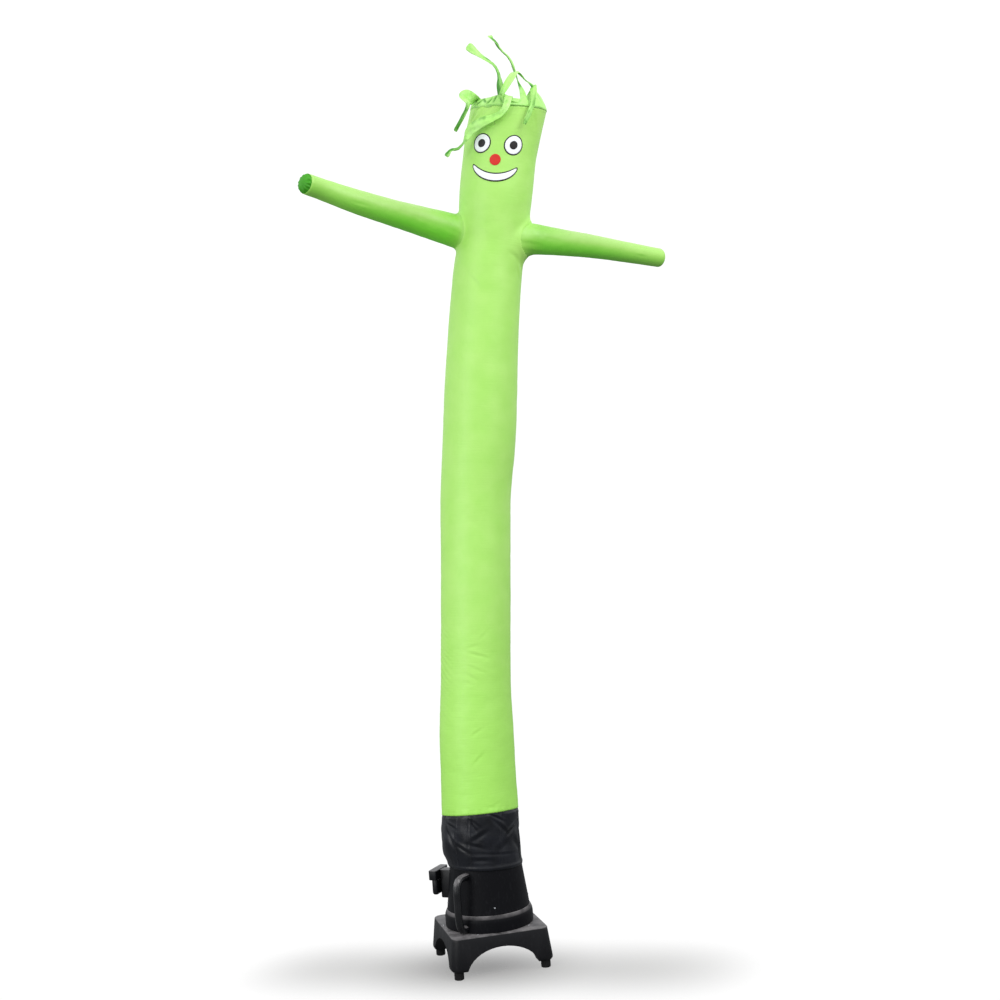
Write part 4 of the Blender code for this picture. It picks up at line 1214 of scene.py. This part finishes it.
STREAMERS = {
    # azimuth of its root: (across, away, up, twist, width) at each bend, from the head seam's
    # centre; width is a share of the streamer's, which crumples narrower where it is pulled
    -102: (
        (-0.048, -0.226, 0.085, 10, 0.86),
        (-0.046, -0.218, 0.133, 56, 0.66),
        (-0.060, -0.200, 0.197, 68, 0.55),
        (-0.098, -0.185, 0.250, 60, 0.62),
        (-0.142, -0.175, 0.287, 52, 0.80),
        (-0.185, -0.172, 0.325, 30, 1.00),
        (-0.225, -0.175, 0.362, 4, 1.12),
    ),
    -66: (
        (0.080, -0.196, 0.078, 20, 0.80),
        (0.062, -0.165, 0.141, 58, 0.62),
        (0.050, -0.140, 0.191, 72, 0.50),
        (0.020, -0.110, 0.285, 70, 0.50),
        (-0.014, -0.090, 0.333, 70, 0.40),
        (-0.044, -0.070, 0.380, 62, 0.40),
        (-0.068, -0.060, 0.420, 30, 0.50),
        (-0.085, -0.052, 0.454, 0, 0.95),
    ),
    -42: (
        (0.150, -0.144, 0.098, 0, 0.70),
        (0.108, -0.166, 0.134, 40, 0.72),
        (0.076, -0.190, 0.164, 50, 0.62),
        (0.048, -0.216, 0.164, 44, 0.85),
        (0.022, -0.246, 0.128, 26, 0.92),
        (-0.014, -0.272, 0.072, 22, 0.85),
        (-0.048, -0.288, 0.014, 30, 0.62),
    ),
    -54: (
        (0.150, -0.182, 0.084, 0, 0.92),
        (0.153, -0.204, 0.064, 0, 0.92),
        (0.151, -0.222, 0.016, 4, 0.92),
        (0.138, -0.230, -0.040, 12, 0.66),
        (0.118, -0.238, -0.088, 10, 0.78),
        (0.096, -0.244, -0.130, 14, 0.74),
        (0.084, -0.247, -0.154, 20, 0.62),
    ),
    -150: (
        (-0.216, -0.130, 0.050, 78, 1.50),
        (-0.246, -0.150, 0.060, 98, 1.80),
        (-0.268, -0.166, 0.050, 108, 1.45),
        (-0.246, -0.176, 0.016, 118, 0.74),
        (-0.258, -0.180, -0.026, 120, 0.52),
        (-0.286, -0.176, -0.072, 120, 0.50),
        (-0.312, -0.174, -0.112, 118, 0.52),
        (-0.336, -0.170, -0.150, 105, 0.70),
    ),
    -90: (
        (0.000, -0.248, 0.020, 0, 1.00),
        (-0.016, -0.264, -0.036, 0, 0.88),
        (-0.048, -0.268, -0.082, 12, 0.84),
        (-0.106, -0.256, -0.108, 16, 1.00),
        (-0.174, -0.236, -0.126, 8, 1.30),
        (-0.240, -0.216, -0.160, 0, 1.26),
        (-0.270, -0.204, -0.200, 26, 0.90),
        (-0.290, -0.196, -0.232, 50, 0.70),
        (-0.326, -0.190, -0.258, 44, 0.62),
        (-0.370, -0.186, -0.266, 34, 0.60),
        (-0.400, -0.184, -0.302, 14, 0.74),
    ),
    54: (
        (0.150, 0.226, 0.070, 0, 1.0),
        (0.162, 0.262, 0.020, 5, 1.0),
        (0.150, 0.282, -0.090, 12, 0.95),
        (0.140, 0.290, -0.220, 24, 0.85),
        (0.118, 0.300, -0.330, 34, 0.7),
    ),
    90: (
        (0.004, 0.262, 0.080, 0, 1.0),
        (-0.006, 0.302, 0.030, -5, 1.0),
        (-0.016, 0.318, -0.080, -12, 0.9),
        (-0.034, 0.322, -0.200, -20, 0.8),
        (-0.040, 0.330, -0.300, -35, 0.7),
    ),
    126: (
        (-0.142, 0.226, 0.068, 0, 1.0),
        (-0.160, 0.260, 0.016, 6, 1.0),
        (-0.158, 0.282, -0.080, 14, 0.9),
        (-0.172, 0.286, -0.190, 20, 0.85),
        (-0.168, 0.294, -0.270, 30, 0.7),
    ),
}
# How much painted shade some streamers have near their roots, and for about how many rows.
STREAMERS_ROOT_SHADE = {-102: (2.2, 44.0), -42: (0.70, 22.0), -66: (0.25, 20.0)}
FRINGE_BRIGHT = (0.450, 0.800, 0.240, 1.0)
FRINGE_DEEP = (0.330, 0.720, 0.120, 1.0)
FRINGE_PAINTED_SHADE = (0.042, 0.262, 0.008, 1.0)  # painted shade in its creases, narrow and bunched parts and its seam's groove

band_azimuths = even_turns(FRINGE_SIDES)
band_rows = np.array([smooth_row(BAND_TABLE, turn_between(at, 0.0)) for at in band_azimuths])
band_rise, band_draw = band_rows[:, 1], band_rows[:, 2]
band_way = round_way(band_azimuths, crown_right, crown_back)
band_levels = np.concatenate([[0.0], np.linspace(0.02, 1.0, BAND_LEVELS - 1)])
fine = wave(band_azimuths, 37, wander=2.0 * wave(band_azimuths, 5))
scallops = SCALLOP * np.abs(wave(band_azimuths, 21, wander=wave(band_azimuths, 4)))
hanging = hill(turn_between(band_azimuths, HANG_AZIMUTH), HANG_HALF)
hanging = hanging * (HANG + HANG_WAVES * wave(band_azimuths, 17))
band_grid, band_shade = [], []
for k, level in enumerate(band_levels):
    above = BAND_HEIGHT * level
    folds = creased(BAND_CREASES, band_azimuths, above, crown_radius) * min(1.0, 0.25 + 2 * level)
    reach = crown_radius - band_draw * level**1.4 - folds
    reach = reach + BAND_FINE * fine * (1 - level) + BAND_PROUD * (1 - level)
    up = band_rise * level + 0.25 * folds * level
    # Painted shade in the band's creases.
    painted_shade = np.clip(folds / CREASE_SHADE[0], 0.0, CREASE_SHADE[1])
    band_shade.append(painted_shade * min(1.0, 3 * level))
    if k == 0:
        up = scallops - SEAM_LAP - hanging
    if k == 1:
        # Painted shade in the groove along its lower edge, at the seam.
        mean, swing, least, most = SEAM_GROOVE_SHADE
        band_shade[k] = np.clip(mean + swing * wave(band_azimuths, 9, 60), least, most)
    band_grid.append(crown_centre + reach[:, None] * band_way + up[:, None] * crown_up)
lap_height = along_column(band_grid[0])
lap_centre, lap_right, lap_back, _, _ = column_at(lap_height)
lap_way = band_grid[0] - lap_centre
lap_turn = np.degrees(np.arctan2((lap_way * lap_back).sum(-1), (lap_way * lap_right).sum(-1)))
lap_out = tube_out(lap_turn, lap_height) + FRINGE_CLOTH + SEAM_GAP
band_grid[0] = on_column(lap_turn, lap_height, lap_out)
band_grid = np.array(band_grid)


def streamer_grid(root, bends, root_shade):
    """A streamer's rows of points from its root's points on the band's edge, its line, and its
    painted shade at each point; the last argument is its painted shade near its root, and for how
    many rows."""
    start = (root[0] + root[-1]) / 2
    places = [(*start, 0.0, 1.0)]
    places += [(*(crown_centre + np.array(bend[:3])), *bend[3:]) for bend in bends]
    table = smooth_path(places, STREAMER_SPANS)
    line, width = table[:, :3], table[:, 4] * STREAMER_WIDTH
    wides, others, ahead = frames_along(line, root[-1] - root[0])
    wides = round_way(table[:, 3], wides, others)
    count = len(line) - 1
    places = np.linspace(-1.0, 1.0, STREAMER_COLUMNS)
    rows, normals, painted_shade = [root], [np.zeros_like(root)], [np.zeros(STREAMER_COLUMNS)]
    for i in range(1, count + 1):
        rounding = max(0.0, 1.0 - (count - i) / STREAMER_TIP)
        half = width[i] / 2 * math.sqrt(1.0 - 0.7 * rounding**2)
        settled = min(1.0, i / STREAMER_SPANS)
        narrowed = max(0.0, 1.0 - width[i] / STREAMER_WIDTH)
        cup = STREAMER_CUP[0] * math.sin(0.6 + 2.1 * i / STREAMER_SPANS)
        cup = cup + STREAMER_CUP[1] * narrowed
        pleat = STREAMER_PLEAT[0] + STREAMER_PLEAT[1] * narrowed
        pleat = pleat * np.sin(5.2 * places + 0.9 + 0.16 * i)
        normal = np.cross(wides[i], ahead[i])
        curl = settled * (cup * (1.0 - places**2) + pleat * (1.0 - 0.5 * places**2))
        rows.append(line[i] + (places * half)[:, None] * wides[i] + curl[:, None] * normal)
        normals.append(np.tile(normal * settled, (STREAMER_COLUMNS, 1)))
        # Painted shade where the streamer narrows and near its root, uneven across it.
        narrow_shade = ramp(narrowed - STREAMER_NARROW_SHADE[0], STREAMER_NARROW_SHADE[1])
        narrow_shade = narrow_shade + root_shade[0] * math.exp(-((i / root_shade[1]) ** 4))
        across = 0.58 - 0.42 * np.sin(1.6 * places + 0.05 * i)
        painted_shade.append(min(1.0, i / STREAMER_SHADE_IN) * narrow_shade * across)
    rows, normals, painted_shade = np.array(rows), np.array(normals), np.array(painted_shade)
    crush = sum(depth * crumpled(rows, waves, seed) for depth, waves, seed in STREAMER_UNEVEN)
    crush = crush * np.clip(table[:, 4] / 0.8, 0.4, 1.0)[:, None]
    # Random patches add more painted shade.
    waves, seed, left_out, strength = STREAMER_PATCHES
    patches = np.clip(-crumpled(rows, waves, seed) - left_out, 0.0, 1.0)
    painted_shade = np.clip(painted_shade + strength * patches, 0.0, 1.0)
    return rows + normals * crush[..., None], line, painted_shade


band_around = metres_around(band_azimuths, crown_radius)
fringe_grids = [(band_grid, band_around, band_levels * BAND_HEIGHT, True)]
fringe_shade = [np.array(band_shade)]
pitch = FRINGE_SIDES // STREAMER_PLACES
turn_apart = 360 / STREAMER_PLACES
for azimuth, bends in STREAMERS.items():
    first = round((azimuth - turn_apart / 2) / turn_apart) % STREAMER_PLACES * pitch
    root = band_grid[-1][[(first + i) % FRINGE_SIDES for i in range(STREAMER_COLUMNS)]]
    rows, line, painted_shade = streamer_grid(root, bends, STREAMERS_ROOT_SHADE.get(azimuth, (0.0, 1.0)))
    across = np.linspace(-0.5, 0.5, STREAMER_COLUMNS) * STREAMER_WIDTH
    across = math.radians(azimuth) * crown_radius + across
    fringe_grids.append((rows, across, BAND_HEIGHT + runs_of(line), False))
    fringe_shade.append(painted_shade)
fringe_nylon = nylon("fringe_nylon", FRINGE_BRIGHT, FRINGE_DEEP, 0.55, 0.46, 0.25)
# The fringe's painted shade, in a deeper green.
painted_shade_share = feed(fringe_nylon, "Attribute", attribute_name="painted_shade").outputs["Fac"]
shaded(fringe_nylon, painted_shade_share, FRINGE_PAINTED_SHADE)
fringe = layered_piece("fringe_cloth", fringe_grids, fringe_nylon, FRINGE_CLOTH, fringe_shade)
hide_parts("head_fringe")

# ---------------------------------------------------------------- stitching
# Every seam is lockstitched in thread of its cloth's colour: polyester thread, a stitch each seven
# millimetres, in one or two rows.
THREAD_RADIUS = 0.00045
STITCH_PITCH = 0.007
STITCH_LENGTH = 0.0048
STITCH_SIDES = 5
STITCH_ARCH = ((0.0, -0.0003), (0.25, 0.0004), (0.75, 0.0004), (1.0, -0.0003))  # share, lift
STITCH_PROUD = 0.0003
COLOUR_STITCHES = (0.005, 0.012)  # the rows above the colour seam
BACK_STITCHES = 1.5  # degrees beside the back seam
BACK_STITCH_ENDS = 0.02  # how far it stops short of the seams at its ends
BACK_STITCH_POINTS = 700
BAND_STITCHES = 0.45  # as a share of the way from the band's edge to its next row
ARM_STITCHES = (2, -3)  # the arms' rows of points that they follow
HEM_STITCHES = 0.021  # over the hem's edge
PANEL_STITCHES = (1.0, 2.6)  # degrees beside each panel's seam
PANEL_STITCH_ROWS = slice(3, -8)
THREAD_LIME = (0.400, 0.760, 0.140, 1.0)
THREAD_BLACK = (0.012, 0.012, 0.013, 1.0)


def sewn(name, seams, colour):
    """All of one thread's stitches, along seams of (points, outward directions)."""
    points, faces = [], []
    for line, outward in seams:
        steps = runs_of(line)
        for start in np.arange(0.0, steps[-1] - STITCH_LENGTH, STITCH_PITCH):
            low, high = read_rows(np.array([start, start + STITCH_LENGTH]), steps, line)
            out = read_rows(start, steps, outward)
            out /= np.linalg.norm(out)
            along = (high - low) / np.linalg.norm(high - low)
            beside = np.cross(along, out)
            first = len(points)
            for share, lift in STITCH_ARCH:
                centre = low + (high - low) * share + out * lift
                for i in range(STITCH_SIDES):
                    turn = 2 * math.pi * i / STITCH_SIDES
                    round_it = math.cos(turn) * beside + math.sin(turn) * out
                    points.append(centre + THREAD_RADIUS * round_it)
            faces += ring_faces(first, len(STITCH_ARCH), STITCH_SIDES)
            faces.append(tuple(first + i for i in reversed(range(STITCH_SIDES))))
    thread = new_surface(name, Specular_IOR_Level=0.4)
    twist = speckle(thread, piece_place(thread), 700.0, 2.0)
    darker = tuple(0.7 * value for value in colour[:3]) + (1.0,)
    drive(thread, "Base Color", blended(thread, twist, colour, darker))
    roughened(thread, twist, 0.45, 0.65)
    relief(thread, [(twist, 0.0002, 0.4)])
    return mesh_piece(name, points, faces, thread)


def away_from_column(points):
    """The outward directions at points on the column."""
    centre, _, _, _, _ = column_at(points[..., 2])
    out = points - centre
    return out / np.linalg.norm(out, axis=-1)[..., None]


def closed_line(points):
    """A ring's points, with the first again at the end."""
    return np.concatenate([points, points[:1]])


def on_tube(turns, levels):
    """A seam's line on the tube's cloth, with its outward directions."""
    line = on_column(turns, levels, tube_out(turns, levels) + STITCH_PROUD)
    return line, away_from_column(line)


round_turns = np.linspace(-180.0, 180.0, 361)
lime_seams, black_seams = [], []
for above in COLOUR_STITCHES:
    lime_seams.append(on_tube(round_turns, np.full_like(round_turns, COLOUR_SEAM + above)))
back_ends = (COLOUR_SEAM + BACK_STITCH_ENDS, HEAD_SEAM - BACK_STITCH_ENDS)
back_levels = np.linspace(*back_ends, BACK_STITCH_POINTS)
lime_seams.append(on_tube(np.full_like(back_levels, BACK_SEAM + BACK_STITCHES), back_levels))
band_line = closed_line(band_grid[0] + (band_grid[1] - band_grid[0]) * BAND_STITCHES)
lime_seams.append((band_line, away_from_column(band_line)))
for rows, outward in arm_rows.values():
    for row in ARM_STITCHES:
        lime_seams.append((closed_line(rows[row]), closed_line(outward[row])))
hem_row = int(np.searchsorted(sleeve_heights, HEM_HEIGHT + HEM_STITCHES))
hem_line = closed_line(sleeve_points[hem_row])
black_seams.append((hem_line, away_from_column(hem_line)))
for seam in SLEEVE_PANEL_SEAMS:
    for beside in PANEL_STITCHES:
        turns = (seam + beside - SLEEVE_SEAM_DRIFT * (SLEEVE_TOP - sleeve_heights) + 180.0) % 360.0
        share = turns / 360.0 * SLEEVE_SIDES
        low = np.floor(share).astype(int)
        rows, share = np.arange(SLEEVE_ROWS), (share - low)[:, None]
        line = sleeve_points[rows, low % SLEEVE_SIDES] * (1 - share)
        line = line + sleeve_points[rows, (low + 1) % SLEEVE_SIDES] * share
        line = line[PANEL_STITCH_ROWS]
        black_seams.append((line, away_from_column(line)))
lime_thread = sewn("lime_thread", lime_seams, THREAD_LIME)
black_thread = sewn("black_thread", black_seams, THREAD_BLACK)

# ---------------------------------------------------------------- printed face
# A plain clown's face is screen printed on the tube in flat inks: white, black and red.  The inks
# lie on the cloth in thin layers and follow its folds.
FACE_AZIMUTH = -95.0
FACE_HEIGHT = 4.880
FACE_RADIUS = 0.2255
INK = 0.0003
FIRST_INK, SECOND_INK, THIRD_INK = 0.0012, 0.0016, 0.0020  # how proud of the cloth each lies
INK_BLACK = (0.006, 0.006, 0.007, 1.0)
INK_WHITE = (0.87, 0.89, 0.92, 1.0)
INK_RED = (0.62, 0.020, 0.012, 1.0)
FACE_STEPS = 72
FACE_RINGS = 12
FACE_PITCH = 0.004  # metres between the ink's own coordinates
EYE_ACROSS, EYE_ABOVE = 0.100, 0.080
EYE_EDGE, EYE_WHITE, PUPIL = 0.0600, 0.0530, 0.0250
NOSE_ABOVE, NOSE_RADIUS = -0.015, 0.0340
SMILE_ABOVE = 0.060  # the middle of the smile's circle
SMILE_RADIUS = 0.180
SMILE_EDGE, SMILE_WHITE = (0.0270, 54.0), (0.0190, 51.0)  # half its height, degrees to each side


def on_face(across, above, proud):
    """Points on the printed side of the tube, from metres across and above the face's middle."""
    height = FACE_HEIGHT + above
    azimuth = FACE_AZIMUTH + np.degrees(across / FACE_RADIUS)
    return on_column(azimuth, height, tube_out(azimuth, height) + proud)


def disc(across, above, radius, proud):
    """A round of ink."""
    turns = np.arange(FACE_STEPS) * 2 * math.pi / FACE_STEPS
    edge = np.stack([np.cos(turns), np.sin(turns)], -1) * radius
    shares = np.linspace(1.0, 0.0, FACE_RINGS)[:, None, None]
    return np.array([across, above]) + shares * edge, proud, True


def smile(half_height, reach, proud):
    """A slim oval of ink, bent round a circle's lower side."""
    along = np.linspace(-1.0, 1.0, FACE_STEPS)
    turns = np.radians(-90.0 + reach * along)
    thick = half_height * np.sqrt(1.0 - along**2)
    radii = SMILE_RADIUS + np.linspace(-1.0, 1.0, FACE_RINGS)[:, None] * thick
    placed = np.stack([radii * np.cos(turns), SMILE_ABOVE + radii * np.sin(turns)], -1)
    return placed, proud, False


def printed(name, shapes, colour, roughness):
    """One ink's piece, of all its shapes."""
    ink = new_surface(name, Base_Color=colour, Specular_IOR_Level=0.4)
    place = cloth_place(ink)
    worn = speckle(ink, place, 140.0, 3.0)
    roughened(ink, worn, roughness - 0.06, roughness + 0.08)
    crinkle = speckle(ink, place, CRINKLE_SCALE, 4.0)
    relief(ink, [(crinkle, CRINKLE_HEIGHT, 0.3), (worn, 0.0002, 0.2)])
    grids = []
    for placed, proud, closed in shapes:
        points = on_face(placed[..., 0], placed[..., 1], proud)
        columns = np.arange(placed.shape[1] + 1) * FACE_PITCH
        grids.append((points, columns, np.arange(placed.shape[0]) * FACE_PITCH, closed))
    layered_piece(name, grids, ink, INK)


black_shapes = [smile(*SMILE_EDGE, FIRST_INK)]
white_shapes = [smile(*SMILE_WHITE, SECOND_INK)]
red_shapes = [disc(0.0, NOSE_ABOVE, NOSE_RADIUS, FIRST_INK)]
for across in (-EYE_ACROSS, EYE_ACROSS):
    black_shapes.append(disc(across, EYE_ABOVE, EYE_EDGE, FIRST_INK))
    white_shapes.append(disc(across, EYE_ABOVE, EYE_WHITE, SECOND_INK))
    black_shapes.append(disc(across, EYE_ABOVE, PUPIL, THIRD_INK))
printed("ink_black", black_shapes, INK_BLACK, 0.42)
printed("ink_white", white_shapes, INK_WHITE, 0.45)
printed("ink_red", red_shapes, INK_RED, 0.42)

# ---------------------------------------------------------------- floor, light and camera
# A round on the floor that shows only painted shadows, with the real shadows in them, a soft sky
# above, two broad soft lights in front, one to either side, and a camera at half the dancer's
# height.
FLOOR_REACH = 2.4
FLOOR_SIDES = 72
FLOOR_RINGS = 16
FLOOR_SHADE = (0.156, 0.150, 0.141, 1.0)
FLOOR_TURN = math.radians(-12.8)
# The floor is seen only as painted shadows: a long faint one, and a smaller one under the blower.
FLOOR_SHADES = (
    # middle, half lengths, how squarely it ends, strength
    ((-0.32, -0.22), (1.69, 0.71), 6.0, 0.43),
    ((-0.42, -0.19), (0.80, 0.84), 2.0, 0.28),
)
# The sky is dark below and light above, a little brighter on the left, and white where it is seen.
SKY_RISE = (-0.12, 0.10, 0.26, 1.12)
SKY_ACROSS = (-0.9, 0.9, 1.02, 0.92)
SKY_SEEN = 1.03
SKY_TINT = (0.940, 0.970, 1.0, 1.0)
SKY_WHITE = (1.0, 1.0, 1.0, 1.0)
KEY_PLACE, KEY_TARGET, KEY_POWER = (-5.3, -5.2, 3.3), (0.0, 0.0, 1.2), 214.0
FILL_PLACE, FILL_TARGET, FILL_POWER = (4.2, -4.0, 8.0), (0.0, 0.0, 4.6), 318.0
LIGHT_WIDTH, LIGHT_HEIGHT = 3.6, 5.0
CAMERA_ACROSS, CAMERA_AWAY, CAMERA_HEIGHT = 0.245, -9.0, 2.753  # from the blower's axis
CAMERA_PITCH, CAMERA_ROLL = 90.3, -4.06  # degrees
CAMERA_LENS, CAMERA_SENSOR = 52.99, 36.0  # millimetres

floor_points = [(*BLOWER_AXIS.xy, 0.0)]
for radius in np.linspace(0.2, FLOOR_REACH, FLOOR_RINGS):
    for turn in np.radians(even_turns(FLOOR_SIDES)):
        across, away = radius * math.cos(turn), radius * math.sin(turn)
        floor_points.append((BLOWER_AXIS.x + across, BLOWER_AXIS.y + away, 0.0))
floor_faces = [(0, 1 + i, 1 + (i + 1) % FLOOR_SIDES) for i in range(FLOOR_SIDES)]
for k in range(FLOOR_RINGS - 1):
    low, high = 1 + k * FLOOR_SIDES, 1 + (k + 1) * FLOOR_SIDES
    for i in range(FLOOR_SIDES):
        j = (i + 1) % FLOOR_SIDES
        floor_faces.append((low + i, high + i, high + j, low + j))
floor_mesh = bpy.data.meshes.new("floor")
floor_mesh.from_pydata(floor_points, [], floor_faces)
floor = bpy.data.objects.new("floor", floor_mesh)
bpy.context.scene.collection.objects.link(floor)
floor_painted_shadow = new_surface(
    "floor_painted_shadow", Base_Color=FLOOR_SHADE, Roughness=0.9, Specular_IOR_Level=0.1
)
floor_place = piece_place(floor_painted_shadow)
# The painted shadows, which are all that is seen of the floor.
shades = []
for (across, away), (long, wide), ending, strength in FLOOR_SHADES:
    inputs = {
        "Vector": floor_place,
        "Location": (across, away, 0.0),
        "Rotation": (0.0, 0.0, FLOOR_TURN),
        "Scale": (long, wide, 1.0),
    }
    laid = feed(floor_painted_shadow, "Mapping", inputs, vector_type="TEXTURE").outputs["Vector"]
    parts = parts_of(floor_painted_shadow, laid)
    lengthwise = worked(floor_painted_shadow, "POWER", worked(floor_painted_shadow, "ABSOLUTE", parts["X"]), ending)
    crosswise = worked(floor_painted_shadow, "MULTIPLY", parts["Y"], parts["Y"])
    reached = worked(floor_painted_shadow, "SQRT", worked(floor_painted_shadow, "ADD", lengthwise, crosswise))
    fading = (0.0, 1.0, strength, 0.0)
    shades.append(spread(floor_painted_shadow, reached, *fading, interpolation_type="SMOOTHSTEP"))
drive(floor_painted_shadow, "Alpha", worked(floor_painted_shadow, "ADD", *shades, use_clamp=True))
floor.data.materials.append(floor_painted_shadow)

sky = bpy.data.worlds.new("studio")
bpy.context.scene.world = sky
sky.use_nodes = True
sky_parts = parts_of(sky, feed(sky, "TexCoord").outputs["Generated"])
rising = spread(sky, sky_parts["Z"], *SKY_RISE)
lit = worked(sky, "MULTIPLY", rising, spread(sky, sky_parts["X"], *SKY_ACROSS))
seen = feed(sky, "LightPath").outputs["Is Camera Ray"]
brightness = worked(sky, "MAXIMUM", lit, worked(sky, "MULTIPLY", seen, SKY_SEEN))
drive(sky, "Strength", brightness, "Background")
drive(sky, "Color", blended(sky, seen, SKY_TINT, SKY_WHITE), "Background")


def soft_light(name, place, target, power):
    """A broad rectangular light that faces its target."""
    lamp = bpy.data.lights.new(name, "AREA")
    lamp.shape = "RECTANGLE"
    lamp.size, lamp.size_y, lamp.energy = LIGHT_WIDTH, LIGHT_HEIGHT, power
    holder = bpy.data.objects.new(name, lamp)
    holder.location = place
    holder.rotation_euler = (Vector(place) - Vector(target)).to_track_quat("Z", "Y").to_euler()
    bpy.context.scene.collection.objects.link(holder)


soft_light("key_light", KEY_PLACE, KEY_TARGET, KEY_POWER)
soft_light("fill_light", FILL_PLACE, FILL_TARGET, FILL_POWER)

lens = bpy.data.cameras.new("camera")
lens.sensor_width = CAMERA_SENSOR
lens.lens = CAMERA_LENS
camera = bpy.data.objects.new("camera", lens)
camera_place = (CAMERA_ACROSS + BLOWER_AXIS.x, CAMERA_AWAY + BLOWER_AXIS.y, CAMERA_HEIGHT)
pitched = Matrix.Rotation(math.radians(CAMERA_PITCH), 4, "X")
rolled = Matrix.Rotation(math.radians(CAMERA_ROLL), 4, "Z")
camera.matrix_world = Matrix.Translation(camera_place) @ pitched @ rolled
bpy.context.scene.collection.objects.link(camera)
bpy.context.scene.camera = camera
bpy.context.scene.view_settings.view_transform = "Standard"
